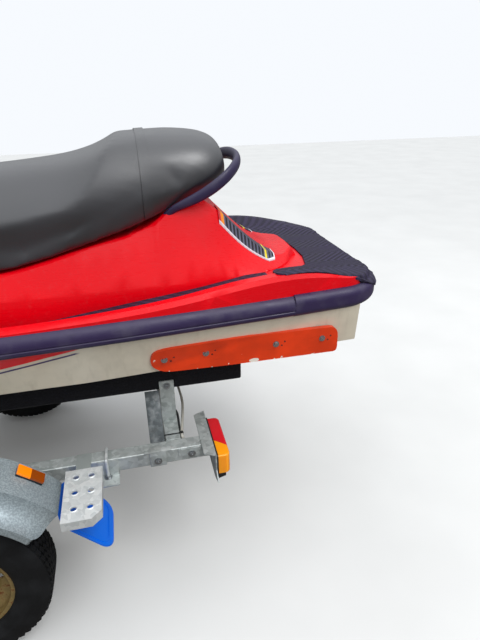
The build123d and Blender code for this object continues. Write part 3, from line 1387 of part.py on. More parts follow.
# Ball coupling bolted on the end of the drawbar
BALL_X = 1940.0
SOCKET_LOW = 438.0
SOCKET_DEPTH = 34.0
with BuildPart() as coupling:
    with BuildSketch(Plane.YZ.offset(DRAWBAR_FRONT_X)):
        with Locations((0, FRAME_TOP - DRAWBAR_TUBE / 2)):
            Rectangle(DRAWBAR_TUBE, DRAWBAR_TUBE)
    extrude(amount=20)
    with BuildSketch(Plane.XY.offset(SOCKET_LOW)):
        with Locations((BALL_X, 0)):
            Circle(38)
        Polygon((DRAWBAR_FRONT_X + 20, -30), (DRAWBAR_FRONT_X + 20, 30), (BALL_X, 38), (BALL_X, -38),
                align=None)
    extrude(amount=62)
    with BuildSketch(Plane.XY.offset(SOCKET_LOW)):
        with Locations((BALL_X, 0)):
            Circle(COUPLING_BALL_RADIUS)
    extrude(amount=SOCKET_DEPTH, mode=Mode.SUBTRACT)
    with BuildSketch(Plane.XZ.offset(-9)):
        with BuildLine():
            Polyline((BALL_X - 6, 500), (BALL_X + 20, 500), (BALL_X + 4, 546), (BALL_X - 90, 566),
                     (BALL_X - 92, 556), (BALL_X - 10, 536), close=True)
        make_face()
    extrude(amount=18)
save(coupling, "coupling")

# Jockey wheel: clamp and outer tube on the drawbar, sliding stem, swivelling fork and wheel
JOCKEY_TUBE_LOW = 425.0
JOCKEY_TUBE_TOP = 872.0
STEM_RADIUS = 20.6
FORK_TOP = 222.0
with BuildPart() as jockey_tube:
    with BuildSketch(Plane.XY.offset(JOCKEY_TUBE_LOW)):
        with Locations((JOCKEY_X, JOCKEY_Y)):
            Circle(24)
            Circle(21, mode=Mode.SUBTRACT)
    extrude(amount=JOCKEY_TUBE_TOP - JOCKEY_TUBE_LOW)
    with BuildSketch(Plane.XY.offset(JOCKEY_TUBE_TOP)):
        with Locations((JOCKEY_X, JOCKEY_Y)):
            Circle(26)
    extrude(amount=14)
    with BuildSketch(Plane.XY.offset(FRAME_TOP - 56)):
        with Locations((JOCKEY_X, (JOCKEY_Y - 30) / 2)):
            Rectangle(56, -JOCKEY_Y - 30)
        with Locations((JOCKEY_X, JOCKEY_Y)):
            Circle(30)
            Circle(23.9, mode=Mode.SUBTRACT)
    extrude(amount=52)
    with BuildSketch(Plane.XY.offset(JOCKEY_TUBE_TOP + 14)):
        with Locations((JOCKEY_X, JOCKEY_Y)):
            Circle(7)
    extrude(amount=16)
    with BuildSketch(Plane.XY.offset(JOCKEY_TUBE_TOP + 30)):
        with Locations((JOCKEY_X - 55, JOCKEY_Y)):
            SlotCenterToCenter(110, 18)
    extrude(amount=7)
    with BuildSketch(Plane.XY.offset(JOCKEY_TUBE_TOP + 30)):
        with Locations((JOCKEY_X - 110, JOCKEY_Y)):
            Circle(11)
    extrude(amount=62)
save(jockey_tube, "jockey_tube")

with BuildPart() as jockey_stem:
    with BuildSketch(Plane.XY.offset(FORK_TOP + 6)):
        with Locations((JOCKEY_X, JOCKEY_Y)):
            Circle(STEM_RADIUS)
            Circle(STEM_RADIUS - 3, mode=Mode.SUBTRACT)
    extrude(amount=430)
    with BuildSketch(Plane.XY.offset(FORK_TOP + 0.5)):
        with Locations((JOCKEY_X, JOCKEY_Y)):
            Circle(26)
    extrude(amount=5.5)
save(jockey_stem, "jockey_stem")

FORK_HALF = 36.0
AXLE_PIN = 8.0
with BuildPart() as jockey_fork:
    with BuildSketch(Plane.XY.offset(FORK_TOP - 6)):
        with Locations((JOCKEY_X, JOCKEY_Y)):
            RectangleRounded(60, 2 * FORK_HALF + 10, 6)
    extrude(amount=6)
    for y in (JOCKEY_Y + FORK_HALF + 5, JOCKEY_Y - FORK_HALF):
        with BuildSketch(Plane.XZ.offset(-y)):
            Polygon((JOCKEY_X - 30, FORK_TOP), (JOCKEY_X + 30, FORK_TOP), (JOCKEY_X - JOCKEY_TRAIL + 20, 92),
                    (JOCKEY_X - JOCKEY_TRAIL - 20, 92), align=None)
        extrude(amount=5)
    with BuildSketch(Plane.XZ.offset(-(JOCKEY_Y + FORK_HALF + 12))):
        with Locations((JOCKEY_X - JOCKEY_TRAIL, JOCKEY_WHEEL_RADIUS)):
            Circle(AXLE_PIN)
    extrude(amount=2 * FORK_HALF + 24)
save(jockey_fork, "jockey_fork")

JOCKEY_HALF = 29.0
with BuildPart() as jockey_form:
    with BuildSketch(Plane.YZ):
        with BuildLine():
            Line((-JOCKEY_HALF, 88), (-JOCKEY_HALF, 70))
            Polyline((-JOCKEY_HALF, 70), (-8, 62), (-8, 30), (-31, 24), (-31, AXLE_PIN + 0.4),
                     (31, AXLE_PIN + 0.4), (31, 24), (8, 30), (8, 62), (JOCKEY_HALF, 70), (JOCKEY_HALF, 88))
            ThreePointArc((JOCKEY_HALF, 88), (21, 97), (0, JOCKEY_WHEEL_RADIUS))
            ThreePointArc((0, JOCKEY_WHEEL_RADIUS), (-21, 97), (-JOCKEY_HALF, 88))
        make_face()
    revolve(axis=wheel_axis)
with BuildPart() as jockey_wheel:
    add(jockey_form.part.moved(Location((JOCKEY_X - JOCKEY_TRAIL, JOCKEY_Y, JOCKEY_WHEEL_RADIUS))))
save(jockey_wheel, "jockey_wheel")
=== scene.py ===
"""Looks of a two-seat personal watercraft that is parked on its boat trailer.

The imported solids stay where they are. This file gives each of them its finish, rounds their edges,
and adds the soft seat, the ribbed mat, the side boards, the tyre treads, fasteners and lamp wiring.
"""

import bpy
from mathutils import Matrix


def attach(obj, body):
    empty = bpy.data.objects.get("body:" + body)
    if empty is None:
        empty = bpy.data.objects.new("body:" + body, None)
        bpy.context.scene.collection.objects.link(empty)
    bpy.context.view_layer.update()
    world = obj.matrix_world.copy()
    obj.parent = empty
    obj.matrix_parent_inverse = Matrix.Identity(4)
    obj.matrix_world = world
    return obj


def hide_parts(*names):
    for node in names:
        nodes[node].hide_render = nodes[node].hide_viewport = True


bl_info = {
    "name": "Watercraft on a trailer",
    "version": (1, 0, 0),
    "blender": (4, 5, 0),
    "location": "View3D > Sidebar > Watercraft",
    "description": "Finishes, soft parts and small fittings of a personal watercraft on its trailer",
    "category": "Add Mesh",
}

from math import cos, pi, radians, sin

import bmesh
import bpy
from bpy.props import FloatProperty, FloatVectorProperty, IntProperty, PointerProperty
from mathutils import Matrix, Vector
from mathutils.bvhtree import BVHTree

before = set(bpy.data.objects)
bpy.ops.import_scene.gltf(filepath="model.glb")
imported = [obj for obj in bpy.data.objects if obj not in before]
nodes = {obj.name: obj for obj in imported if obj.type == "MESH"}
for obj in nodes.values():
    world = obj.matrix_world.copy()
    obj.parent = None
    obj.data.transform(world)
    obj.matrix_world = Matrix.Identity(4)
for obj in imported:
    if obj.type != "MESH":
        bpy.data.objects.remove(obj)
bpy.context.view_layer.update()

# Places and measures of the whole, in metres

MM = 0.001
ROOT = "craft_and_trailer"
SIDES = (1, -1)
SIDE_NAMES = ((1, "port"), (-1, "starboard"))
AXLE = Vector((-0.543, 0.0, 0.268))
WHEEL_Y = 0.637
MUDGUARD_RADIUS = 0.390
REFLECTOR_ANGLE = radians(129.5)
REFLECTOR_LENS = 0.0055
# Strength of the faint painted glow given to the lamp lenses, the gauge and the reflectors
LENS_GLOW = 0.12

# The vinyl's print is drawn with cells 3 mm apart, and the zinc's spangles are 14 mm across
PRINT_CELLS_PER_METRE = 330.0
SPANGLES_PER_METRE = 70.0

# The side boards: their face where the hull is flat, how far they stand off its flare, and the worn places
BOARD_FACE_Y = 0.426
BOARD_PROUD = 0.009
BOARD_LOW_Z = 0.744
BOARD_NOSE_X = -1.165
CHIP_PLACE = (-1.494, 0.426, 0.7485)
CHIP_RADIUS = 0.009

# The hull's painted line, from its aft end forwards, with the red wedge above it
LINE_AFT_X, LINE_AFT_Z = -0.9533, 0.8655
LINE_FORE_X, LINE_FORE_Z = -0.60, 0.8066
LINE_END_X = -0.965
LINE_HALF = 0.003
WEDGE_GAP = 0.0125

# The mat's printed ribs: chevrons on the flat, and wavy ribs from WALL_Y outwards
CHEVRON_WIDTH = 0.09
CHEVRON_SLOPE = 1.1
CHEVRON_PITCH = 0.026
WALL_Y = 0.284
WALL_PITCH = 0.036
WALL_SLOPE = 0.8
WALL_WAVES = 60.0
WALL_WAVE_HEIGHT = 0.006

# The corner trim: where its colours end along x, and the line of its white edge
TRIM_PITCH = 0.0125
TRIM_ORANGE_X = -1.457
TRIM_RED_X = -1.447
TRIM_YELLOW_AFT_X, TRIM_YELLOW_FORE_X = -1.605, -1.598
TRIM_TAIL_X = -1.632
TRIM_EDGE_SLOPE, TRIM_EDGE_Y = 0.035, 0.1472
TRIM_CORNER_SLOPE, TRIM_CORNER_AT = 1.625, 1.9345

# Where vertices are joined: in new pieces, and in the CAD nodes' loose triangles
JOIN_DISTANCE = 0.00001
NODE_JOIN_DISTANCE = 0.00002

# Edges of a CAD node below the first angle look smooth, edges of a new piece below the second do too, and a
# CAD node's edges above the third are rounded
SMOOTH_ANGLE = radians(28)
SHARP_ANGLE = radians(32)
ROUNDED_ANGLE = radians(40)

# A bolt's measures, as shares of half its width across the flats
WASHER_RADIUS, WASHER_TOP_RADIUS = 1.75, 1.7
HEAD_RADIUS, HEAD_HEIGHT, HEAD_BEVEL = 1.155, 0.85, 0.16
STUD_RADIUS, STUD_TIP_RADIUS = 0.6, 0.55
RIM_HEIGHT = 0.8
WASHER_THICKNESS = 0.0016


def linear(code):
    """Linear colour of an sRGB hex code."""
    parts = [int(code[i:i + 2], 16) / 255 for i in (1, 3, 5)]
    return tuple(c / 12.92 if c <= 0.04045 else ((c + 0.055) / 1.055) ** 2.4 for c in parts)


# Sizes and colours


class WatercraftColours(bpy.types.PropertyGroup):
    deck_red: FloatVectorProperty(
        name="Deck red", description="Gelcoat of the deck moulding", subtype="COLOR",
        default=linear("#E20012"))
    hull_cream: FloatVectorProperty(
        name="Hull cream", description="Gelcoat of the hull", subtype="COLOR", default=linear("#D9D0BC"))
    rail_purple: FloatVectorProperty(
        name="Rail purple", description="Rubber of the rubbing rail and the stern cap", subtype="COLOR",
        default=linear("#2C2046"))
    sponson_orange: FloatVectorProperty(
        name="Sponson orange", description="Paint of the side boards", subtype="COLOR",
        default=linear("#E23A04"))
    vinyl_black: FloatVectorProperty(
        name="Vinyl black", description="Seat cover", subtype="COLOR", default=linear("#101017"))
    mat_slate: FloatVectorProperty(
        name="Mat slate", description="Foam rubber mats", subtype="COLOR", default=linear("#302A42"))
    flap_blue: FloatVectorProperty(
        name="Flap blue", description="Mud flaps", subtype="COLOR", default=linear("#0068DC"))
    mudguard_grey: FloatVectorProperty(
        name="Mudguard grey", description="Hammered paint of the mudguards", subtype="COLOR",
        default=linear("#9AA6AB"))


class SeatSizes(bpy.types.PropertyGroup):
    voxel: FloatProperty(
        name="Mesh step", description="Size of the mesh squares of the cushion", subtype="DISTANCE",
        unit="LENGTH", default=0.011)
    pressure: FloatProperty(name="Pressure", description="Push of the foam on its cover", default=4.0)
    reach: FloatProperty(
        name="Swelling", description="How far the cover may move", subtype="DISTANCE", unit="LENGTH",
        default=0.010)
    strap_x: FloatProperty(
        name="Strap place", description="Middle of the passenger's strap", subtype="DISTANCE", unit="LENGTH",
        default=-1.211)
    strap_width: FloatProperty(
        name="Strap width", description="Width of the passenger's strap", subtype="DISTANCE", unit="LENGTH",
        default=0.030)


class FittingSizes(bpy.types.PropertyGroup):
    bolt_head: FloatProperty(
        name="Bolt head", description="Half the width across the flats of an M8 head", subtype="DISTANCE",
        unit="LENGTH", default=0.0075)
    tread_depth: FloatProperty(
        name="Tread depth", description="Height of the tyre's tread blocks", subtype="DISTANCE",
        unit="LENGTH", default=0.006)
    tread_pitches: IntProperty(
        name="Tread pitches", description="Rows of tread blocks round the tyre", default=64)


class StageSizes(bpy.types.PropertyGroup):
    lens: FloatProperty(
        name="Lens", description="Focal length of the camera", subtype="DISTANCE_CAMERA", default=27.96)
    floor_half: FloatProperty(
        name="Floor", description="Half the width of the floor", subtype="DISTANCE", unit="LENGTH",
        default=14.0)


# Finishes


def set_inputs(tree, node, inputs):
    """Sets or links a node's inputs. A node given as a value is linked by its first output in use."""
    for key, value in inputs.items():
        if isinstance(key, int):
            socket = node.inputs[key]
        else:
            socket = next(s for s in node.inputs if s.enabled and s.name == key)
        if isinstance(value, bpy.types.Node):
            value = next(s for s in value.outputs if s.enabled)
        if isinstance(value, bpy.types.NodeSocket):
            tree.links.new(value, socket)
        elif socket.type == "RGBA":
            socket.default_value = (*value[:3], 1.0)
        else:
            socket.default_value = value


def add_node(tree, kind, inputs=None, **settings):
    """Adds a node, sets its fields, and sets or links its inputs."""
    made = tree.nodes.new(kind)
    for key, value in settings.items():
        setattr(made, key, value)
    set_inputs(tree, made, inputs or {})
    return made


def start_material(name, **settings):
    """A material with a Principled shader, and the socket that holds Object coordinates."""
    material = bpy.data.materials.new(name)
    material.use_nodes = True
    tree = material.node_tree
    tree.nodes.clear()
    shader = add_node(tree, "ShaderNodeBsdfPrincipled")
    set_inputs(tree, shader, {key.replace("_", " "): value for key, value in settings.items()})
    add_node(tree, "ShaderNodeOutputMaterial", {"Surface": shader})
    place = add_node(tree, "ShaderNodeTexCoord").outputs["Object"]
    return material, tree, shader, place


def shade(colour, factor):
    """A lighter or darker tone of a colour."""
    return tuple(min(1.0, c * factor) for c in colour[:3])


def faded(colour, kept, added):
    """A colour paled by wear: a share of it is kept, and grey is added."""
    return tuple(kept * c + added for c in colour[:3])


def gelcoat(name, colour, wear=0.14):
    """Polished polyester gelcoat: deep gloss, slow waviness of the moulding, dull haze and fine scratches."""
    material, tree, shader, place = start_material(
        name, IOR=1.45, Specular_IOR_Level=0.3, Coat_Weight=0.1, Coat_Roughness=0.12)
    cloud = add_node(tree, "ShaderNodeTexNoise", {
        "Vector": place, "Scale": 1 / (280 * MM), "Detail": 2.0,
    })
    dust = add_node(tree, "ShaderNodeTexNoise", {"Vector": place, "Scale": 1 / (12 * MM), "Detail": 4.0})
    scratches = add_node(tree, "ShaderNodeTexNoise", {
        "Vector": add_node(tree, "ShaderNodeMapping", {"Vector": place, "Scale": (0.12, 1, 1)}),
        "Scale": 1 / (6 * MM), "Detail": 2.0,
    })
    tone = add_node(tree, "ShaderNodeMix", {
        "Factor": add_node(tree, "ShaderNodeMapRange", {
            "Value": cloud, "From Min": 0.35, "From Max": 0.65,
        }),
        "A": shade(colour, 0.92), "B": shade(colour, 1.04),
    }, data_type="RGBA")
    haze = add_node(tree, "ShaderNodeMapRange", {
        "Value": dust, "From Min": 0.58, "From Max": 0.8, "To Min": 0.0, "To Max": wear,
    })
    base = add_node(tree, "ShaderNodeMix", {
        "Factor": haze, "A": tone, "B": faded(colour, 0.7, 0.1),
    }, data_type="RGBA")
    set_inputs(tree, shader, {
        "Base Color": base,
        "Roughness": add_node(tree, "ShaderNodeMapRange", {
            "Value": scratches, "From Min": 0.3, "From Max": 0.7, "To Min": 0.24, "To Max": 0.38,
        }),
        "Normal": add_node(tree, "ShaderNodeBump", {
            "Height": cloud, "Strength": 0.2, "Distance": 4 * MM,
        }),
    })
    return material


def striped_hull(name, cream, red, purple):
    """Gelcoat of the hull: cream, with a red wedge under the rail that ends aft above a thin purple line."""
    material, tree, shader, place = start_material(name, IOR=1.5, Coat_Weight=0.35, Coat_Roughness=0.18)
    axes = add_node(tree, "ShaderNodeSeparateXYZ", {"Vector": place})
    x, z = axes.outputs[0], axes.outputs[2]
    wander = add_node(tree, "ShaderNodeMath", {
        0: add_node(tree, "ShaderNodeTexNoise", {
            "Vector": place, "Scale": 1 / (200 * MM), "Detail": 1.0,
        }),
        1: 4 * MM,
    }, operation="MULTIPLY")
    line = add_node(tree, "ShaderNodeMapRange", {
        "Value": x, "From Min": LINE_AFT_X, "From Max": LINE_FORE_X, "To Min": LINE_AFT_Z,
        "To Max": LINE_FORE_Z,
    })
    above = add_node(tree, "ShaderNodeMath", {
        0: add_node(tree, "ShaderNodeMath", {0: z, 1: wander}, operation="ADD"), 1: line,
    }, operation="SUBTRACT")
    aft = add_node(tree, "ShaderNodeMapRange", {
        "Value": x, "From Min": LINE_END_X, "From Max": LINE_END_X + 15 * MM,
    })
    wedge = add_node(tree, "ShaderNodeMath", {
        0: add_node(tree, "ShaderNodeMapRange", {
            "Value": above, "From Min": WEDGE_GAP, "From Max": WEDGE_GAP + 1.5 * MM,
        }),
        1: aft,
    }, operation="MULTIPLY")
    over = add_node(tree, "ShaderNodeMapRange", {
        "Value": above, "From Min": -LINE_HALF, "From Max": -LINE_HALF + 1 * MM,
    })
    under = add_node(tree, "ShaderNodeMapRange", {
        "Value": above, "From Min": LINE_HALF, "From Max": LINE_HALF + 1 * MM, "To Min": 1.0,
        "To Max": 0.0,
    })
    pin = add_node(tree, "ShaderNodeMath", {0: over, 1: under}, operation="MULTIPLY")
    pin = add_node(tree, "ShaderNodeMath", {0: pin, 1: aft}, operation="MULTIPLY")
    stain = add_node(tree, "ShaderNodeTexNoise", {"Vector": place, "Scale": 1 / (50 * MM), "Detail": 5.0})
    streak = add_node(tree, "ShaderNodeTexNoise", {
        "Vector": add_node(tree, "ShaderNodeMapping", {"Vector": place, "Scale": (1, 1, 0.08)}),
        "Scale": 1 / (20 * MM), "Detail": 3.0,
    })
    dirty = add_node(tree, "ShaderNodeMix", {
        "Factor": add_node(tree, "ShaderNodeMapRange", {
            "Value": stain, "From Min": 0.45, "From Max": 0.8, "To Min": 0.0, "To Max": 0.45,
        }),
        "A": cream, "B": shade(cream, 0.72),
    }, data_type="RGBA")
    dirty = add_node(tree, "ShaderNodeMix", {
        "Factor": add_node(tree, "ShaderNodeMapRange", {
            "Value": streak, "From Min": 0.55, "From Max": 0.8, "To Min": 0.0, "To Max": 0.25,
        }),
        "A": dirty, "B": linear("#A79C86"),
    }, data_type="RGBA")
    painted = add_node(tree, "ShaderNodeMix", {"Factor": wedge, "A": dirty, "B": red}, data_type="RGBA")
    painted = add_node(tree, "ShaderNodeMix", {
        "Factor": pin, "A": painted, "B": purple,
    }, data_type="RGBA")
    set_inputs(tree, shader, {
        "Base Color": painted,
        "Roughness": add_node(tree, "ShaderNodeMapRange", {
            "Value": stain, "From Min": 0.3, "From Max": 0.7, "To Min": 0.28, "To Max": 0.5,
        }),
        "Normal": add_node(tree, "ShaderNodeBump", {
            "Height": stain, "Strength": 0.12, "Distance": 3 * MM,
        }),
    })
    return material


def moulded_rubber(name, colour, grit=3 * MM, scuff=0.35, rough=0.46):
    """Extruded or moulded rubber: soft sheen, fine grain, and paler rubbed patches."""
    material, tree, shader, place = start_material(name, IOR=1.5, Specular_IOR_Level=0.55)
    fine = add_node(tree, "ShaderNodeTexNoise", {"Vector": place, "Scale": 1 / grit, "Detail": 2.0})
    rub = add_node(tree, "ShaderNodeTexNoise", {"Vector": place, "Scale": 1 / (60 * MM), "Detail": 5.0})
    scrape = add_node(tree, "ShaderNodeTexNoise", {
        "Vector": add_node(tree, "ShaderNodeMapping", {"Vector": place, "Scale": (0.15, 1, 1)}),
        "Scale": 1 / (10 * MM), "Detail": 3.0,
    })
    worn = add_node(tree, "ShaderNodeMapRange", {
        "Value": rub, "From Min": 0.5, "From Max": 0.78, "To Min": 0.0, "To Max": scuff,
    })
    tone = add_node(tree, "ShaderNodeMix", {
        "Factor": worn, "A": colour, "B": faded(colour, 0.75, 0.09),
    }, data_type="RGBA")
    tone = add_node(tree, "ShaderNodeMix", {
        "Factor": add_node(tree, "ShaderNodeMapRange", {
            "Value": scrape, "From Min": 0.62, "From Max": 0.74, "To Min": 0.0, "To Max": scuff,
        }),
        "A": tone, "B": shade(colour, 0.5),
    }, data_type="RGBA")
    set_inputs(tree, shader, {
        "Base Color": tone,
        "Roughness": add_node(tree, "ShaderNodeMapRange", {
            "Value": rub, "From Min": 0.3, "From Max": 0.7, "To Min": rough - 0.1, "To Max": rough + 0.12,
        }),
        "Normal": add_node(tree, "ShaderNodeBump", {
            "Height": fine, "Strength": 0.25, "Distance": 0.6 * MM,
        }),
    })
    return material


def chipped_paint(name, colour, under):
    """Brushed paint on plastic: uneven coat, brown scrape marks, and pale chips low down and at the nose."""
    material, tree, shader, place = start_material(name, IOR=1.48, Coat_Weight=0.12, Coat_Roughness=0.3)
    axes = add_node(tree, "ShaderNodeSeparateXYZ", {"Vector": place})
    cloud = add_node(tree, "ShaderNodeTexNoise", {"Vector": place, "Scale": 1 / (90 * MM), "Detail": 4.0})
    flake = add_node(tree, "ShaderNodeTexNoise", {"Vector": place, "Scale": 1 / (16 * MM), "Detail": 4.0})
    low = add_node(tree, "ShaderNodeMapRange", {
        "Value": axes.outputs[2], "From Min": BOARD_LOW_Z, "From Max": BOARD_LOW_Z + 16 * MM,
        "To Min": 0.1, "To Max": 0.0,
    })
    nose = add_node(tree, "ShaderNodeMapRange", {
        "Value": axes.outputs[0], "From Min": BOARD_NOSE_X - 35 * MM, "From Max": BOARD_NOSE_X,
        "To Min": 0.0, "To Max": 0.1,
    })
    worn = add_node(tree, "ShaderNodeMath", {
        0: flake, 1: add_node(tree, "ShaderNodeMath", {0: low, 1: nose}, operation="ADD"),
    }, operation="ADD")
    chips = add_node(tree, "ShaderNodeMapRange", {"Value": worn, "From Min": 0.765, "From Max": 0.79})
    away = add_node(tree, "ShaderNodeVectorMath", {0: place, 1: CHIP_PLACE}, operation="SUBTRACT")
    squeezed = add_node(tree, "ShaderNodeVectorMath", {0: away, 1: (0.4, 1.0, 1.0)}, operation="MULTIPLY")
    gap = add_node(tree, "ShaderNodeVectorMath", {0: squeezed}, operation="LENGTH")
    ragged = add_node(tree, "ShaderNodeMath", {
        0: gap, 1: add_node(tree, "ShaderNodeMath", {0: flake, 1: 6 * MM}, operation="MULTIPLY"),
    }, operation="ADD")
    patch = add_node(tree, "ShaderNodeMapRange", {
        "Value": ragged, "From Min": CHIP_RADIUS, "From Max": CHIP_RADIUS + 1 * MM, "To Min": 1.0,
        "To Max": 0.0,
    })
    chips = add_node(tree, "ShaderNodeMath", {0: chips, 1: patch}, operation="MAXIMUM")
    tone = add_node(tree, "ShaderNodeMix", {
        "Factor": add_node(tree, "ShaderNodeMapRange", {
            "Value": cloud, "From Min": 0.35, "From Max": 0.7,
        }),
        "A": shade(colour, 0.84), "B": shade(colour, 1.12),
    }, data_type="RGBA")
    scrape = add_node(tree, "ShaderNodeMapRange", {
        "Value": add_node(tree, "ShaderNodeTexNoise", {
            "Vector": add_node(tree, "ShaderNodeMapping", {"Vector": place, "Scale": (0.1, 1, 1)}),
            "Scale": 1 / (8 * MM), "Detail": 2.0,
        }),
        "From Min": 0.66, "From Max": 0.76, "To Min": 0.0, "To Max": 0.35,
    })
    tone = add_node(tree, "ShaderNodeMix", {
        "Factor": scrape, "A": tone, "B": linear("#8C2A12"),
    }, data_type="RGBA")
    height = add_node(tree, "ShaderNodeMath", {
        0: add_node(tree, "ShaderNodeMath", {0: cloud, 1: 0.5}, operation="MULTIPLY"), 1: chips,
    }, operation="SUBTRACT")
    set_inputs(tree, shader, {
        "Base Color": add_node(tree, "ShaderNodeMix", {
            "Factor": chips, "A": tone, "B": under,
        }, data_type="RGBA"),
        "Roughness": add_node(tree, "ShaderNodeMapRange", {
            "Value": cloud, "From Min": 0.3, "From Max": 0.7, "To Min": 0.32, "To Max": 0.5,
        }),
        "Normal": add_node(tree, "ShaderNodeBump", {
            "Height": height, "Strength": 0.3, "Distance": 1.2 * MM,
        }),
    })
    return material


def coated_vinyl(name, colour):
    """Upholstery vinyl: fine leather-like print, and a silky sheen."""
    material, tree, shader, place = start_material(
        name, IOR=1.5, Sheen_Weight=0.10, Sheen_Roughness=0.4, Specular_IOR_Level=0.9, Coat_Weight=1.0,
        Coat_Roughness=0.34)
    # The printed grain is about 1 mm; it is drawn at 3 mm so that it shows.
    cells = add_node(tree, "ShaderNodeTexVoronoi", {
        "Vector": place, "Scale": PRINT_CELLS_PER_METRE,
    }, feature="DISTANCE_TO_EDGE")
    cloud = add_node(tree, "ShaderNodeTexNoise", {
        "Vector": place, "Scale": 1 / (160 * MM), "Detail": 4.0,
    })
    crease = add_node(tree, "ShaderNodeTexNoise", {
        "Vector": add_node(tree, "ShaderNodeMapping", {"Vector": place, "Scale": (0.35, 1, 1)}),
        "Scale": 1 / (35 * MM), "Detail": 3.0,
    })
    tone = add_node(tree, "ShaderNodeMix", {
        "Factor": add_node(tree, "ShaderNodeMapRange", {
            "Value": cloud, "From Min": 0.38, "From Max": 0.68,
        }),
        "A": shade(colour, 0.82), "B": shade(colour, 1.3),
    }, data_type="RGBA")
    print_height = add_node(tree, "ShaderNodeMapRange", {
        "Value": cells, "From Min": 0.0, "From Max": 0.12, "To Min": 0.0, "To Max": 0.12,
    })
    height = add_node(tree, "ShaderNodeMath", {
        0: print_height, 1: add_node(tree, "ShaderNodeMath", {0: crease, 1: 0.6}, operation="MULTIPLY"),
    }, operation="ADD")
    set_inputs(tree, shader, {
        "Base Color": tone,
        "Roughness": add_node(tree, "ShaderNodeMapRange", {
            "Value": cloud, "From Min": 0.3, "From Max": 0.7, "To Min": 0.36, "To Max": 0.5,
        }),
        "Normal": add_node(tree, "ShaderNodeBump", {
            "Height": height, "Strength": 0.35, "Distance": 1.6 * MM,
        }),
    })
    return material


def ribbed_mat(name, colour):
    """Foam rubber deck mat: fine chevron ribs on the flat, wavy ribs up the walls, greyed where worn."""
    material, tree, shader, place = start_material(name, IOR=1.45, Specular_IOR_Level=0.35)
    axes = add_node(tree, "ShaderNodeSeparateXYZ", {"Vector": place})
    x = axes.outputs[0]
    across = add_node(tree, "ShaderNodeMath", {0: axes.outputs[1]}, operation="ABSOLUTE")
    zigzag = add_node(tree, "ShaderNodeMath", {0: across, 1: CHEVRON_WIDTH}, operation="PINGPONG")
    along = add_node(tree, "ShaderNodeMath", {
        0: add_node(tree, "ShaderNodeMath", {0: zigzag, 1: CHEVRON_SLOPE}, operation="MULTIPLY"), 1: x,
    }, operation="ADD")
    fine = add_node(tree, "ShaderNodeMath", {
        0: add_node(tree, "ShaderNodeMath", {0: along, 1: 2 * pi / CHEVRON_PITCH}, operation="MULTIPLY"),
    }, operation="SINE")
    wave = add_node(tree, "ShaderNodeMath", {
        0: add_node(tree, "ShaderNodeMath", {0: across, 1: WALL_WAVES}, operation="MULTIPLY"),
    }, operation="SINE")
    sway = add_node(tree, "ShaderNodeMath", {0: wave, 1: WALL_WAVE_HEIGHT}, operation="MULTIPLY")
    slope = add_node(tree, "ShaderNodeMath", {
        0: add_node(tree, "ShaderNodeMath", {0: across, 1: WALL_SLOPE}, operation="MULTIPLY"), 1: x,
    }, operation="ADD")
    slant = add_node(tree, "ShaderNodeMath", {0: slope, 1: sway}, operation="ADD")
    broad = add_node(tree, "ShaderNodeMath", {
        0: add_node(tree, "ShaderNodeMath", {0: slant, 1: 2 * pi / WALL_PITCH}, operation="MULTIPLY"),
    }, operation="SINE")
    wall = add_node(tree, "ShaderNodeMapRange", {
        "Value": across, "From Min": WALL_Y, "From Max": WALL_Y + 8 * MM,
    })
    flat = add_node(tree, "ShaderNodeMapRange", {
        "Value": wall, "From Min": 0.0, "From Max": 1.0, "To Min": 1.0, "To Max": 0.0,
    })
    chevrons = add_node(tree, "ShaderNodeMath", {
        0: add_node(tree, "ShaderNodeMapRange", {"Value": fine, "From Min": 0.1, "From Max": 0.8}),
        1: flat,
    }, operation="MULTIPLY")
    ribs = add_node(tree, "ShaderNodeMath", {
        0: add_node(tree, "ShaderNodeMapRange", {
            "Value": broad, "From Min": -0.4, "From Max": 0.8, "To Min": 0.0, "To Max": 0.7,
        }),
        1: wall,
    }, operation="MULTIPLY")
    groove = add_node(tree, "ShaderNodeMath", {0: chevrons, 1: ribs}, operation="ADD")
    cloud = add_node(tree, "ShaderNodeTexNoise", {
        "Vector": place, "Scale": 1 / (110 * MM), "Detail": 4.0,
    })
    grit = add_node(tree, "ShaderNodeTexNoise", {"Vector": place, "Scale": 1 / (3 * MM), "Detail": 2.0})
    tone = add_node(tree, "ShaderNodeMix", {
        "Factor": add_node(tree, "ShaderNodeMapRange", {
            "Value": cloud, "From Min": 0.35, "From Max": 0.7,
        }),
        "A": shade(colour, 0.85), "B": shade(colour, 1.25),
    }, data_type="RGBA")
    # The grooves between the ribs are painted darker, as painted shade.
    tone = add_node(tree, "ShaderNodeMix", {
        "Factor": add_node(tree, "ShaderNodeMath", {0: groove, 1: 0.9}, operation="MULTIPLY"), "A": tone,
        "B": shade(colour, 0.3),
    }, data_type="RGBA")
    height = add_node(tree, "ShaderNodeMath", {
        0: add_node(tree, "ShaderNodeMath", {0: grit, 1: 0.2}, operation="MULTIPLY"), 1: groove,
    }, operation="SUBTRACT")
    set_inputs(tree, shader, {
        "Base Color": tone,
        "Roughness": add_node(tree, "ShaderNodeMapRange", {
            "Value": cloud, "From Min": 0.3, "From Max": 0.7, "To Min": 0.5, "To Max": 0.66,
        }),
        "Normal": add_node(tree, "ShaderNodeBump", {
            "Height": height, "Strength": 0.9, "Distance": 4 * MM,
        }),
    })
    return material


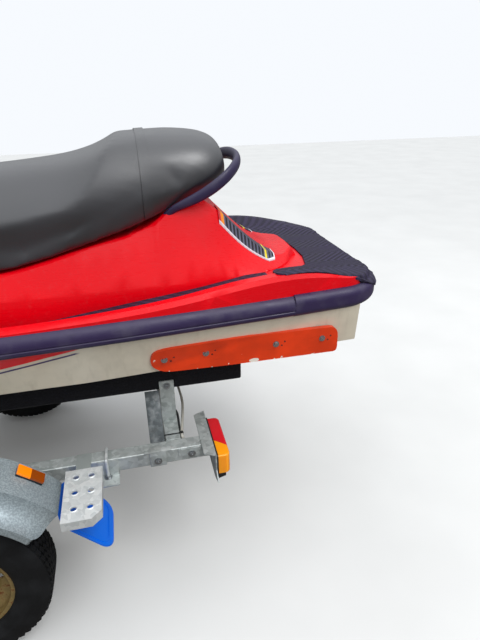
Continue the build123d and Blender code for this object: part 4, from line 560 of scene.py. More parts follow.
def louvred_strip(name, colour):
    """Plastic corner trim: dark louvres across it, an orange end, a yellow band and a white outboard edge."""
    material, tree, shader, place = start_material(name, IOR=1.46, Roughness=0.38)
    axes = add_node(tree, "ShaderNodeSeparateXYZ", {"Vector": place})
    x = axes.outputs[0]
    across = add_node(tree, "ShaderNodeMath", {0: axes.outputs[1]}, operation="ABSOLUTE")
    slat = add_node(tree, "ShaderNodeMath", {
        0: add_node(tree, "ShaderNodeMath", {0: x, 1: 2 * pi / TRIM_PITCH}, operation="MULTIPLY"),
    }, operation="SINE")
    tone = add_node(tree, "ShaderNodeMix", {
        "Factor": add_node(tree, "ShaderNodeMapRange", {
            "Value": slat, "From Min": -0.2, "From Max": 0.7,
        }),
        "A": shade(colour, 0.45), "B": linear("#5B5B70"),
    }, data_type="RGBA")
    tone = add_node(tree, "ShaderNodeMix", {
        "Factor": add_node(tree, "ShaderNodeMapRange", {
            "Value": x, "From Min": TRIM_ORANGE_X, "From Max": TRIM_ORANGE_X + 2 * MM,
        }),
        "A": tone, "B": linear("#F08A1E"),
    }, data_type="RGBA")
    tone = add_node(tree, "ShaderNodeMix", {
        "Factor": add_node(tree, "ShaderNodeMapRange", {
            "Value": x, "From Min": TRIM_RED_X, "From Max": TRIM_RED_X + 2 * MM,
        }),
        "A": tone, "B": linear("#C01420"),
    }, data_type="RGBA")
    ahead = add_node(tree, "ShaderNodeMapRange", {
        "Value": x, "From Min": TRIM_YELLOW_AFT_X, "From Max": TRIM_YELLOW_AFT_X + 2 * MM,
    })
    behind = add_node(tree, "ShaderNodeMapRange", {
        "Value": x, "From Min": TRIM_YELLOW_FORE_X, "From Max": TRIM_YELLOW_FORE_X + 2 * MM,
        "To Min": 1.0, "To Max": 0.0,
    })
    yellow = add_node(tree, "ShaderNodeMath", {0: ahead, 1: behind}, operation="MULTIPLY")
    tone = add_node(tree, "ShaderNodeMix", {
        "Factor": yellow, "A": tone, "B": linear("#EFDC3C"),
    }, data_type="RGBA")
    edge = add_node(tree, "ShaderNodeMath", {
        0: add_node(tree, "ShaderNodeMath", {0: x, 1: TRIM_EDGE_SLOPE}, operation="MULTIPLY"), 1: across,
    }, operation="ADD")
    outboard = add_node(tree, "ShaderNodeMapRange", {
        "Value": edge, "From Min": TRIM_EDGE_Y, "From Max": TRIM_EDGE_Y + 0.8 * MM,
    })
    slope = add_node(tree, "ShaderNodeMath", {
        0: add_node(tree, "ShaderNodeMath", {0: across, 1: TRIM_CORNER_SLOPE}, operation="MULTIPLY"),
        1: x,
    }, operation="SUBTRACT")
    corner = add_node(tree, "ShaderNodeMapRange", {
        "Value": slope, "From Min": TRIM_CORNER_AT, "From Max": TRIM_CORNER_AT + 2 * MM,
    })
    tail = add_node(tree, "ShaderNodeMapRange", {
        "Value": x, "From Min": TRIM_TAIL_X, "From Max": TRIM_TAIL_X + 1 * MM, "To Min": 1.0,
        "To Max": 0.0,
    })
    white = add_node(tree, "ShaderNodeMath", {
        0: add_node(tree, "ShaderNodeMath", {0: outboard, 1: corner}, operation="MAXIMUM"), 1: tail,
    }, operation="MAXIMUM")
    set_inputs(tree, shader, {
        "Base Color": add_node(tree, "ShaderNodeMix", {
            "Factor": white, "A": tone, "B": linear("#E4DFE6"),
        }, data_type="RGBA"),
        "Normal": add_node(tree, "ShaderNodeBump", {
            "Height": slat, "Strength": 0.5, "Distance": 1.5 * MM,
        }),
    })
    return material


def galvanised(name, pale="#C8CECC", dark="#A3AAA8", painted_shade_inboard_of=0.0):
    """Hot-dip galvanised steel: dull zinc with grey spangles and white bloom, and painted shade inboard of a
    line.
    """
    material, tree, shader, place = start_material(name, Metallic=0.5)
    spangle = add_node(tree, "ShaderNodeTexVoronoi", {"Vector": place, "Scale": SPANGLES_PER_METRE})
    tint = add_node(tree, "ShaderNodeSeparateColor", {"Color": spangle.outputs["Color"]}).outputs[0]
    bloom = add_node(tree, "ShaderNodeTexNoise", {"Vector": place, "Scale": 1 / (40 * MM), "Detail": 5.0})
    dirt = add_node(tree, "ShaderNodeTexNoise", {"Vector": place, "Scale": 1 / (110 * MM), "Detail": 4.0})
    tone = add_node(tree, "ShaderNodeMix", {
        "Factor": tint, "A": linear(dark), "B": linear(pale),
    }, data_type="RGBA")
    tone = add_node(tree, "ShaderNodeMix", {
        "Factor": add_node(tree, "ShaderNodeMapRange", {
            "Value": bloom, "From Min": 0.5, "From Max": 0.75, "To Min": 0.0, "To Max": 0.55,
        }),
        "A": tone, "B": linear("#C6CACA"),
    }, data_type="RGBA")
    # Inboard of the line the zinc is painted darker, as painted shade.
    if painted_shade_inboard_of:
        axes = add_node(tree, "ShaderNodeSeparateXYZ", {"Vector": place})
        across = add_node(tree, "ShaderNodeMath", {0: axes.outputs[1]}, operation="ABSOLUTE")
        tone = add_node(tree, "ShaderNodeMix", {
            "Factor": add_node(tree, "ShaderNodeMapRange", {
                "Value": across, "From Min": painted_shade_inboard_of - 1 * MM, "From Max": painted_shade_inboard_of, "To Min": 1.0,
                "To Max": 0.0,
            }),
            "A": tone, "B": linear("#A9B0AE"),
        }, data_type="RGBA")
    tone = add_node(tree, "ShaderNodeMix", {
        "Factor": add_node(tree, "ShaderNodeMapRange", {
            "Value": dirt, "From Min": 0.58, "From Max": 0.8, "To Min": 0.0, "To Max": 0.5,
        }),
        "A": tone, "B": linear("#6E6A62"),
    }, data_type="RGBA")
    height = add_node(tree, "ShaderNodeMath", {
        0: add_node(tree, "ShaderNodeMath", {0: tint, 1: 0.3}, operation="MULTIPLY"), 1: bloom,
    }, operation="ADD")
    set_inputs(tree, shader, {
        "Base Color": tone,
        "Roughness": add_node(tree, "ShaderNodeMapRange", {
            "Value": bloom, "From Min": 0.3, "From Max": 0.7, "To Min": 0.42, "To Max": 0.62,
        }),
        "Normal": add_node(tree, "ShaderNodeBump", {
            "Height": height, "Strength": 0.15, "Distance": 1.2 * MM,
        }),
    })
    return material


def hammered_paint(name, colour):
    """Silver hammer-finish paint on pressed steel: fine flecks, road dirt low down."""
    material, tree, shader, place = start_material(name, Metallic=0.35, Coat_Weight=0.25, Coat_Roughness=0.25)
    fleck = add_node(tree, "ShaderNodeTexNoise", {
        "Vector": place, "Scale": 1 / (4.5 * MM), "Detail": 3.0,
    })
    cloud = add_node(tree, "ShaderNodeTexNoise", {
        "Vector": place, "Scale": 1 / (120 * MM), "Detail": 4.0,
    })
    axes = add_node(tree, "ShaderNodeSeparateXYZ", {"Vector": place})
    tone = add_node(tree, "ShaderNodeMix", {
        "Factor": add_node(tree, "ShaderNodeMapRange", {
            "Value": fleck, "From Min": 0.42, "From Max": 0.6,
        }),
        "A": shade(colour, 0.8), "B": shade(colour, 1.16),
    }, data_type="RGBA")
    tone = add_node(tree, "ShaderNodeMix", {
        "Factor": add_node(tree, "ShaderNodeMapRange", {
            "Value": cloud, "From Min": 0.5, "From Max": 0.8, "To Min": 0.0, "To Max": 0.4,
        }),
        "A": tone, "B": shade(colour, 0.68),
    }, data_type="RGBA")
    soil = add_node(tree, "ShaderNodeMath", {
        0: add_node(tree, "ShaderNodeMapRange", {
            "Value": axes.outputs[2], "From Min": 0.4, "From Max": 0.56, "To Min": 0.6, "To Max": 0.0,
        }),
        1: cloud,
    }, operation="MULTIPLY")
    set_inputs(tree, shader, {
        "Base Color": add_node(tree, "ShaderNodeMix", {
            "Factor": soil, "A": tone, "B": linear("#6B6254"),
        }, data_type="RGBA"),
        "Roughness": add_node(tree, "ShaderNodeMapRange", {
            "Value": cloud, "From Min": 0.3, "From Max": 0.7, "To Min": 0.34, "To Max": 0.5,
        }),
        "Normal": add_node(tree, "ShaderNodeBump", {
            "Height": fleck, "Strength": 0.3, "Distance": 0.8 * MM,
        }),
    })
    return material


def rusted_rim(name, colour):
    """Old gold wheel paint with rust in scattered patches."""
    material, tree, shader, place = start_material(name, Metallic=0.25, Coat_Weight=0.1, Coat_Roughness=0.35)
    cloud = add_node(tree, "ShaderNodeTexNoise", {"Vector": place, "Scale": 1 / (30 * MM), "Detail": 5.0})
    speck = add_node(tree, "ShaderNodeTexNoise", {"Vector": place, "Scale": 1 / (6 * MM), "Detail": 4.0})
    rust = add_node(tree, "ShaderNodeMapRange", {
        "Value": add_node(tree, "ShaderNodeMath", {
            0: cloud, 1: add_node(tree, "ShaderNodeMath", {0: speck, 1: 0.5}, operation="MULTIPLY"),
        }, operation="ADD"),
        "From Min": 0.78, "From Max": 0.92,
    })
    tone = add_node(tree, "ShaderNodeMix", {
        "Factor": add_node(tree, "ShaderNodeMapRange", {
            "Value": cloud, "From Min": 0.35, "From Max": 0.65,
        }),
        "A": shade(colour, 0.75), "B": shade(colour, 1.1),
    }, data_type="RGBA")
    set_inputs(tree, shader, {
        "Base Color": add_node(tree, "ShaderNodeMix", {
            "Factor": rust, "A": tone, "B": linear("#6E3A1C"),
        }, data_type="RGBA"),
        "Roughness": add_node(tree, "ShaderNodeMapRange", {
            "Value": rust, "From Min": 0.0, "From Max": 1.0, "To Min": 0.42, "To Max": 0.85,
        }),
        "Normal": add_node(tree, "ShaderNodeBump", {"Height": rust, "Strength": 0.4, "Distance": 1 * MM}),
    })
    return material


def tyre_rubber(name):
    """Tyre rubber: near black, greyed by road dust in broad patches."""
    material, tree, shader, place = start_material(name, IOR=1.5, Specular_IOR_Level=0.35)
    cloud = add_node(tree, "ShaderNodeTexNoise", {"Vector": place, "Scale": 1 / (70 * MM), "Detail": 5.0})
    fine = add_node(tree, "ShaderNodeTexNoise", {"Vector": place, "Scale": 1 / (3 * MM), "Detail": 2.0})
    tone = add_node(tree, "ShaderNodeMix", {
        "Factor": add_node(tree, "ShaderNodeMapRange", {
            "Value": cloud, "From Min": 0.42, "From Max": 0.72,
        }),
        "A": linear("#08090B"), "B": linear("#1A1B1D"),
    }, data_type="RGBA")
    set_inputs(tree, shader, {
        "Base Color": tone,
        "Roughness": add_node(tree, "ShaderNodeMapRange", {
            "Value": cloud, "From Min": 0.3, "From Max": 0.7, "To Min": 0.62, "To Max": 0.82,
        }),
        "Normal": add_node(tree, "ShaderNodeBump", {
            "Height": fine, "Strength": 0.3, "Distance": 0.8 * MM,
        }),
    })
    return material


def moulded_plastic(name, colour, grit=3 * MM, rough=0.42, fade=0.3):
    """Moulded plastic: fine spark-eroded texture, sun-faded on broad patches."""
    material, tree, shader, place = start_material(name, IOR=1.46)
    fine = add_node(tree, "ShaderNodeTexNoise", {"Vector": place, "Scale": 1 / grit, "Detail": 2.0})
    cloud = add_node(tree, "ShaderNodeTexNoise", {"Vector": place, "Scale": 1 / (80 * MM), "Detail": 4.0})
    bleached = add_node(tree, "ShaderNodeMapRange", {
        "Value": cloud, "From Min": 0.45, "From Max": 0.75, "To Min": 0.0, "To Max": fade,
    })
    set_inputs(tree, shader, {
        "Base Color": add_node(tree, "ShaderNodeMix", {
            "Factor": bleached, "A": colour, "B": faded(colour, 0.8, 0.07),
        }, data_type="RGBA"),
        "Roughness": add_node(tree, "ShaderNodeMapRange", {
            "Value": cloud, "From Min": 0.3, "From Max": 0.7, "To Min": rough - 0.08,
            "To Max": rough + 0.1,
        }),
        "Normal": add_node(tree, "ShaderNodeBump", {
            "Height": fine, "Strength": 0.2, "Distance": 0.5 * MM,
        }),
    })
    return material


def reflector_plastic(name):
    """Prism reflector on a black backing: amber, and brown where the prisms throw light away from the eye."""
    material, tree, shader, place = start_material(name, IOR=1.49, Roughness=0.16, Coat_Weight=0.3)
    from_axle = add_node(tree, "ShaderNodeVectorMath", {0: place, 1: AXLE}, operation="SUBTRACT")
    out_from_axle = (cos(REFLECTOR_ANGLE), 0.0, sin(REFLECTOR_ANGLE))
    along_guard = (-sin(REFLECTOR_ANGLE), 0.0, cos(REFLECTOR_ANGLE))
    outward = add_node(tree, "ShaderNodeVectorMath", {
        0: from_axle, 1: out_from_axle,
    }, operation="DOT_PRODUCT")
    aft = add_node(tree, "ShaderNodeVectorMath", {0: from_axle, 1: along_guard}, operation="DOT_PRODUCT")
    lens = add_node(tree, "ShaderNodeMix", {
        "Factor": add_node(tree, "ShaderNodeMapRange", {
            "Value": aft, "From Min": -1 * MM, "From Max": 0.0,
        }),
        "A": linear("#FF8A08"), "B": linear("#8A3E0A"),
    }, data_type="RGBA")
    face = MUDGUARD_RADIUS + REFLECTOR_LENS
    front = add_node(tree, "ShaderNodeMapRange", {
        "Value": outward, "From Min": face, "From Max": face + 0.5 * MM,
    })
    set_inputs(tree, shader, {
        "Base Color": add_node(tree, "ShaderNodeMix", {
            "Factor": front, "A": linear("#121214"), "B": lens,
        }, data_type="RGBA"),
        # A faint painted glow on the lens face
        "Emission Color": lens,
        "Emission Strength": add_node(tree, "ShaderNodeMath", {
            0: front, 1: LENS_GLOW,
        }, operation="MULTIPLY"),
    })
    return material


def lens_plastic(name, colour):
    """Acrylic lamp lens: clear gloss over fine upright prisms, with a faint painted glow."""
    material, tree, shader, place = start_material(
        name, IOR=1.49, Coat_Weight=0.6, Coat_Roughness=0.04, Roughness=0.12, Subsurface_Weight=0.15)
    axes = add_node(tree, "ShaderNodeSeparateXYZ", {"Vector": place})
    prism = add_node(tree, "ShaderNodeMath", {
        0: add_node(tree, "ShaderNodeMath", {
            0: axes.outputs[1], 1: 2 * pi / (5 * MM),
        }, operation="MULTIPLY"),
    }, operation="SINE")
    tone = add_node(tree, "ShaderNodeMix", {
        "Factor": add_node(tree, "ShaderNodeMapRange", {
            "Value": prism, "From Min": -1.0, "From Max": 1.0,
        }),
        "A": shade(colour, 0.8), "B": shade(colour, 1.15),
    }, data_type="RGBA")
    set_inputs(tree, shader, {
        "Base Color": tone,
        "Normal": add_node(tree, "ShaderNodeBump", {
            "Height": prism, "Strength": 0.2, "Distance": 0.6 * MM,
        }),
        # A faint painted glow
        "Emission Color": colour,
        "Emission Strength": LENS_GLOW,
    })
    return material


def stainless(name, tint="#B9BABD", rough=0.24):
    """Polished stainless steel with fine drawn lines and water marks."""
    material, tree, shader, place = start_material(name, Metallic=1.0)
    drawn = add_node(tree, "ShaderNodeTexNoise", {
        "Vector": add_node(tree, "ShaderNodeMapping", {"Vector": place, "Scale": (1, 0.1, 1)}),
        "Scale": 1 / (2 * MM), "Detail": 2.0,
    })
    spots = add_node(tree, "ShaderNodeTexNoise", {"Vector": place, "Scale": 1 / (20 * MM), "Detail": 4.0})
    set_inputs(tree, shader, {
        "Base Color": add_node(tree, "ShaderNodeMix", {
            "Factor": add_node(tree, "ShaderNodeMapRange", {
                "Value": spots, "From Min": 0.5, "From Max": 0.8, "To Min": 0.0, "To Max": 0.5,
            }),
            "A": linear(tint), "B": linear("#8E8F93"),
        }, data_type="RGBA"),
        "Roughness": add_node(tree, "ShaderNodeMapRange", {
            "Value": drawn, "From Min": 0.3, "From Max": 0.7, "To Min": rough - 0.08,
            "To Max": rough + 0.1,
        }),
    })
    return material


def cast_metal(name, tint="#8D9092"):
    """Sand-cast aluminium: coarse skin, dull grey, salt bloom."""
    material, tree, shader, place = start_material(name, Metallic=0.8)
    skin = add_node(tree, "ShaderNodeTexNoise", {"Vector": place, "Scale": 1 / (4 * MM), "Detail": 4.0})
    bloom = add_node(tree, "ShaderNodeTexNoise", {"Vector": place, "Scale": 1 / (50 * MM), "Detail": 4.0})
    set_inputs(tree, shader, {
        "Base Color": add_node(tree, "ShaderNodeMix", {
            "Factor": add_node(tree, "ShaderNodeMapRange", {
                "Value": bloom, "From Min": 0.5, "From Max": 0.75, "To Min": 0.0, "To Max": 0.6,
            }),
            "A": linear(tint), "B": linear("#B9BBBA"),
        }, data_type="RGBA"),
        "Roughness": add_node(tree, "ShaderNodeMapRange", {
            "Value": bloom, "From Min": 0.3, "From Max": 0.7, "To Min": 0.4, "To Max": 0.65,
        }),
        "Normal": add_node(tree, "ShaderNodeBump", {
            "Height": skin, "Strength": 0.35, "Distance": 1.2 * MM,
        }),
    })
    return material


def carpet(name, colour="#0C0C11"):
    """Short synthetic carpet on the bunks: matt, with fuzzy loops about 3 mm across."""
    material, tree, shader, place = start_material(
        name, Sheen_Weight=0.08, Sheen_Roughness=0.6, Roughness=0.95, Specular_IOR_Level=0.2)
    loops = add_node(tree, "ShaderNodeTexNoise", {"Vector": place, "Scale": 1 / (4 * MM), "Detail": 3.0})
    cloud = add_node(tree, "ShaderNodeTexNoise", {"Vector": place, "Scale": 1 / (80 * MM), "Detail": 3.0})
    tone = add_node(tree, "ShaderNodeMix", {
        "Factor": add_node(tree, "ShaderNodeMapRange", {
            "Value": loops, "From Min": 0.35, "From Max": 0.65,
        }),
        "A": shade(linear(colour), 0.6), "B": shade(linear(colour), 1.7),
    }, data_type="RGBA")
    set_inputs(tree, shader, {
        "Base Color": add_node(tree, "ShaderNodeMix", {
            "Factor": add_node(tree, "ShaderNodeMapRange", {
                "Value": cloud, "From Min": 0.6, "From Max": 0.85, "To Min": 0.0, "To Max": 0.3,
            }),
            "A": tone, "B": linear("#2A2828"),
        }, data_type="RGBA"),
        "Normal": add_node(tree, "ShaderNodeBump", {
            "Height": loops, "Strength": 0.8, "Distance": 2.5 * MM,
        }),
    })
    return material


_finishes = {}


def finish(key):
    """One material of each kind, made when it is first asked for."""
    if key not in _finishes:
        tones = bpy.context.scene.watercraft_colours
        makers = {
            "deck": lambda: gelcoat("red_gelcoat", tones.deck_red),
            "hull": lambda: striped_hull(
                "cream_gelcoat", tones.hull_cream, tones.deck_red, linear("#43325F")),
            "rail": lambda: moulded_rubber("purple_rubber", tones.rail_purple),
            "sponson": lambda: chipped_paint("chipped_orange_paint", tones.sponson_orange, linear("#EDE3D6")),
            "vinyl": lambda: coated_vinyl("black_vinyl", tones.vinyl_black),
            "strip": lambda: louvred_strip("louvred_trim", linear("#2A2735")),
            "mat": lambda: ribbed_mat("ribbed_foam_rubber", tones.mat_slate),
            "handle": lambda: moulded_plastic("purple_moulded_plastic", linear("#2E2746"), rough=0.36),
            "black": lambda: moulded_plastic("black_moulded_plastic", linear("#1B1B1D")),
            "black_rubber": lambda: moulded_rubber(
                "black_moulded_rubber", linear("#1D1C1F"), scuff=0.2, rough=0.55),
            "galvanised": lambda: galvanised("galvanised_steel"),
            # The step plates are painted darker inboard of 0.5555 m, as painted shade over their bracket.
            "step": lambda: galvanised("galvanised_step", "#E6E9E8", "#CBD0D0", painted_shade_inboard_of=0.5555),
            "bar": lambda: galvanised("galvanised_bar", "#E6E9E8", "#CBD0D0"),
            "mudguard": lambda: hammered_paint("hammered_silver_paint", tones.mudguard_grey),
            # The wheel paint is given darker than it is, as painted shade on the rims.
            "rim": lambda: rusted_rim("gold_wheel_paint", linear("#8F7A4C")),
            "tyre": lambda: tyre_rubber("tyre_rubber"),
            "flap": lambda: moulded_plastic("blue_moulded_plastic", tones.flap_blue, rough=0.34, fade=0.12),
            "red_lens": lambda: lens_plastic("red_acrylic", linear("#D01A26")),
            "amber_lens": lambda: lens_plastic("amber_acrylic", linear("#FF9A14")),
            "reflector": lambda: reflector_plastic("amber_reflector"),
            "stainless": lambda: stainless("polished_stainless"),
            # Galvanised steel painted dark for the bunk struts, as painted shade from the hull above them.
            "steel_painted_shade": lambda: galvanised("galvanised_painted_shade", "#5C6264", "#4A4F51"),
            "zinc": lambda: stainless("zinc_plated_steel", "#A9ACAE", 0.34),
            "cast": lambda: cast_metal("cast_aluminium"),
            "coupling": lambda: cast_metal("zinc_plated_casting", "#7E8285"),
            "carpet": lambda: carpet("bunk_carpet"),
            "conduit": lambda: moulded_plastic("pale_conduit", linear("#B5B2A8"), rough=0.5),
            "gauge": lambda: lens_plastic("smoked_gauge_lens", linear("#202428")),
        }
        _finishes[key] = makers[key]()
    return _finishes[key]


# Mesh helpers


def soften_group():
    """Geometry nodes that merge a solid's loose triangles and smooth its faces up to its real edges."""
    group = bpy.data.node_groups.get("merge_and_smooth")
    if group:
        return group
    group = bpy.data.node_groups.new("merge_and_smooth", "GeometryNodeTree")
    group.interface.new_socket("Geometry", in_out="INPUT", socket_type="NodeSocketGeometry")
    group.interface.new_socket("Geometry", in_out="OUTPUT", socket_type="NodeSocketGeometry")
    source = add_node(group, "NodeGroupInput")
    merged = add_node(group, "GeometryNodeMergeByDistance", {
        "Geometry": source.outputs[0], "Distance": NODE_JOIN_DISTANCE,
    })
    smooth = add_node(group, "GeometryNodeSetShadeSmooth", {"Geometry": merged, "Shade Smooth": True})
    angle = add_node(group, "GeometryNodeInputMeshEdgeAngle").outputs["Unsigned Angle"]
    flat = add_node(group, "FunctionNodeCompare", {0: angle, 1: SMOOTH_ANGLE}, data_type="FLOAT",
                    operation="LESS_THAN")
    edges = add_node(group, "GeometryNodeSetShadeSmooth", {"Geometry": smooth, "Shade Smooth": flat},
                     domain="EDGE")
    add_node(group, "NodeGroupOutput", {0: edges})
    return group


def dress(name, key, edge):
    """Gives a CAD node its finish, smooth faces and small rounded edges."""
    part = nodes[name]
    part.data.materials.clear()
    part.data.materials.append(finish(key))
    soften = part.modifiers.new("merge_and_smooth", "NODES")
    soften.node_group = soften_group()
    if edge:
        rounding = part.modifiers.new("rounded_edges", "BEVEL")
        rounding.width = edge
        rounding.segments = 2
        rounding.limit_method = "ANGLE"
        rounding.angle_limit = ROUNDED_ANGLE
        rounding.use_clamp_overlap = True
    return part


def finish_mesh(bm, name, body, key):
    """Turns a bmesh into a piece that rides on a body."""
    bmesh.ops.recalc_face_normals(bm, faces=bm.faces)
    mesh = bpy.data.meshes.new(name)
    bm.to_mesh(mesh)
    bm.free()
    mesh.materials.append(finish(key))
    mesh.shade_smooth()
    mesh.set_sharp_from_angle(angle=SHARP_ANGLE)
    piece = bpy.data.objects.new(name, mesh)
    bpy.context.scene.collection.objects.link(piece)
    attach(piece, body)
    return piece


def placed(origin, along, roll=0.0):
    """Matrix whose local Z points along a direction from an origin."""
    turn = Vector(along).normalized().to_track_quat("Z", "Y").to_matrix().to_4x4()
    return Matrix.Translation(origin) @ turn @ Matrix.Rotation(roll, 4, "Z")


def add_cone(bm, matrix, low, high, start, end, sides=24):
    """A straight-sided disc or cone from start to end along local Z."""
    middle = matrix @ Matrix.Translation((0, 0, (start + end) / 2))
    return bmesh.ops.create_cone(bm, cap_ends=True, cap_tris=False, segments=sides, radius1=low, radius2=high,
                                 depth=end - start, matrix=middle)["verts"]


def add_bolt(bm, origin, along, size, roll=0.0, stud=0.0):
    """Hexagon head on a washer, with an optional thread end standing out of it."""
    matrix = placed(origin, along, roll)
    foot = WASHER_THICKNESS
    add_cone(bm, matrix, size * WASHER_RADIUS, size * WASHER_TOP_RADIUS, -0.5 * MM, foot, 20)
    top = foot + size * HEAD_HEIGHT
    head = add_cone(bm, matrix, size * HEAD_RADIUS, size * HEAD_RADIUS, foot, top, 6)
    upright = matrix.inverted()
    rim = [e for v in head for e in v.link_edges
           if all((upright @ w.co).z > foot + size * RIM_HEIGHT for w in e.verts)]
    bmesh.ops.bevel(bm, geom=list(dict.fromkeys(rim)), offset=size * HEAD_BEVEL, offset_type="OFFSET",
                    affect="EDGES", segments=2, profile=0.5, material=-1)
    if stud:
        start = foot + size * RIM_HEIGHT
        add_cone(bm, matrix, size * STUD_RADIUS, size * STUD_TIP_RADIUS, start, top + stud, 14)


def add_turned(bm, matrix, steps):
    """Discs and cones along local Z, each with its two radii, start, end and number of sides."""
    for low, high, start, end, sides in steps:
        add_cone(bm, matrix, low, high, start, end, sides)


def add_box(bm, size, matrix, edge=0.0, segments=2):
    """A box with rounded edges."""
    scale = Matrix.Diagonal((*size, 1.0))
    verts = bmesh.ops.create_cube(bm, size=1.0, matrix=matrix @ scale)["verts"]
    if edge:
        edges = list(dict.fromkeys(e for v in verts for e in v.link_edges))
        bmesh.ops.bevel(bm, geom=edges, offset=edge, offset_type="OFFSET", affect="EDGES", segments=segments,
                        profile=0.5, material=-1)


def tube_mesh(name, points, radius, body, key, sides=12):
    """A round tube along a smooth line, as a mesh piece with its place in its mesh."""
    curve = bpy.data.curves.new(name, "CURVE")
    curve.dimensions = "3D"
    spline = curve.splines.new("NURBS")
    spline.points.add(len(points) - 1)
    for point, place in zip(spline.points, points):
        point.co = (*place, 1.0)
    spline.order_u = 3
    spline.use_endpoint_u = True
    spline.resolution_u = 8
    curve.bevel_depth = radius
    curve.bevel_resolution = sides // 4
    curve.use_fill_caps = True
    line = bpy.data.objects.new(name + "_line", curve)
    mesh = bpy.data.meshes.new_from_object(line)
    bpy.data.objects.remove(line)
    bpy.data.curves.remove(curve)
    bm = bmesh.new()
    bm.from_mesh(mesh)
    bpy.data.meshes.remove(mesh)
    bmesh.ops.remove_doubles(bm, verts=bm.verts, dist=JOIN_DISTANCE)
    return finish_mesh(bm, name, body, key)


def copy_of(name):
    """A merged bmesh of a CAD node."""
    bm = bmesh.new()
    bm.from_mesh(nodes[name].data)
    bmesh.ops.remove_doubles(bm, verts=bm.verts, dist=NODE_JOIN_DISTANCE)
    return bm


def wheel_centre(side):
    return Vector((AXLE.x, side * WHEEL_Y, AXLE.z))


def board_face(hull, x, z):
    """Distance from the middle to the face of a side board, which stands proud of the hull's flare."""
    flare = hull.ray_cast(Vector((x, 1.0, z)), Vector((0, -1, 0)))[0]
    return max(BOARD_FACE_Y, flare.y + BOARD_PROUD if flare else 0.0)


def hull_surface():
    """The hull as a tree that rays can be cast on."""
    bm = copy_of("hull")
    surface = BVHTree.FromBMesh(bm)
    bm.free()
    return surface


# Pieces


class WATERCRAFT_OT_shell(bpy.types.Operator):
    """Finish the hull, deck, rails and the other moulded parts of the craft"""

    bl_idname = "watercraft.shell"
    bl_label = "Finish the shell"

    # CAD node, its finish, and the width of its rounded edges in millimetres
    PARTS = (
        ("hull", "hull", 3), ("deck", "deck", 4), ("bow_lid", "deck", 3), ("rubbing_rail", "rail", 6),
        ("stern_cap", "rail", 10), ("footwell_mats", "mat", 2), ("storage_tray", "black", 1),
        ("grab_handle", "handle", 0), ("instrument_cowl", "handle", 4), ("grips", "black_rubber", 2),
        ("handlebar", "stainless", 0), ("trim_strips", "strip", 1), ("engine_block", "cast", 3),
        ("pump_housing", "cast", 1), ("impeller", "stainless", 0.5), ("steering_nozzle", "cast", 1),
        ("ride_plate", "cast", 1), ("intake_grate", "cast", 1), ("bow_eye", "stainless", 2),
        ("stern_eyes", "stainless", 2), ("bow_stop", "black_rubber", 3),
    )

    def execute(self, context):
        for name, key, edge in self.PARTS:
            dress(name, key, edge * MM)
        return {"FINISHED"}


class WATERCRAFT_OT_trailer(bpy.types.Operator):
    """Finish the steelwork, wheels and running gear of the trailer"""

    bl_idname = "watercraft.trailer"
    bl_label = "Finish the trailer"

    # CAD node, its finish, and the width of its rounded edges in millimetres
    PARTS = (
        ("side_rail_port", "galvanised", 4), ("side_rail_starboard", "galvanised", 4),
        ("cross_member_rear", "galvanised", 4), ("cross_member_front", "galvanised", 4),
        ("drawbar", "galvanised", 4), ("axle", "galvanised", 3), ("wheel_port", "rim", 1),
        ("wheel_starboard", "rim", 1), ("mudguard_port", "mudguard", 1),
        ("mudguard_starboard", "mudguard", 1), ("mudguard_stays", "galvanised", 1), ("mud_flaps", "flap", 2),
        ("step_plates", "step", 0),
        ("bunks", "carpet", 6), ("bunk_brackets", "galvanised", 1), ("lamp_brackets", "galvanised", 1),
        ("lamp_housings", "black", 3), ("tail_lenses", "red_lens", 4), ("indicator_lenses", "amber_lens", 4),
        ("winch_post", "galvanised", 2), ("winch_frame", "zinc", 1), ("winch_drum", "zinc", 1),
        ("winch_crank", "zinc", 1), ("coupling", "coupling", 3), ("jockey_tube", "galvanised", 2),
        ("jockey_stem", "zinc", 1), ("jockey_fork", "galvanised", 2), ("jockey_wheel", "black_rubber", 2),
        ("reflectors", "reflector", 2), ("tyre_port", "tyre", 0), ("tyre_starboard", "tyre", 0),
    )

    def execute(self, context):
        for name, key, edge in self.PARTS:
            dress(name, key, edge * MM)
        return {"FINISHED"}


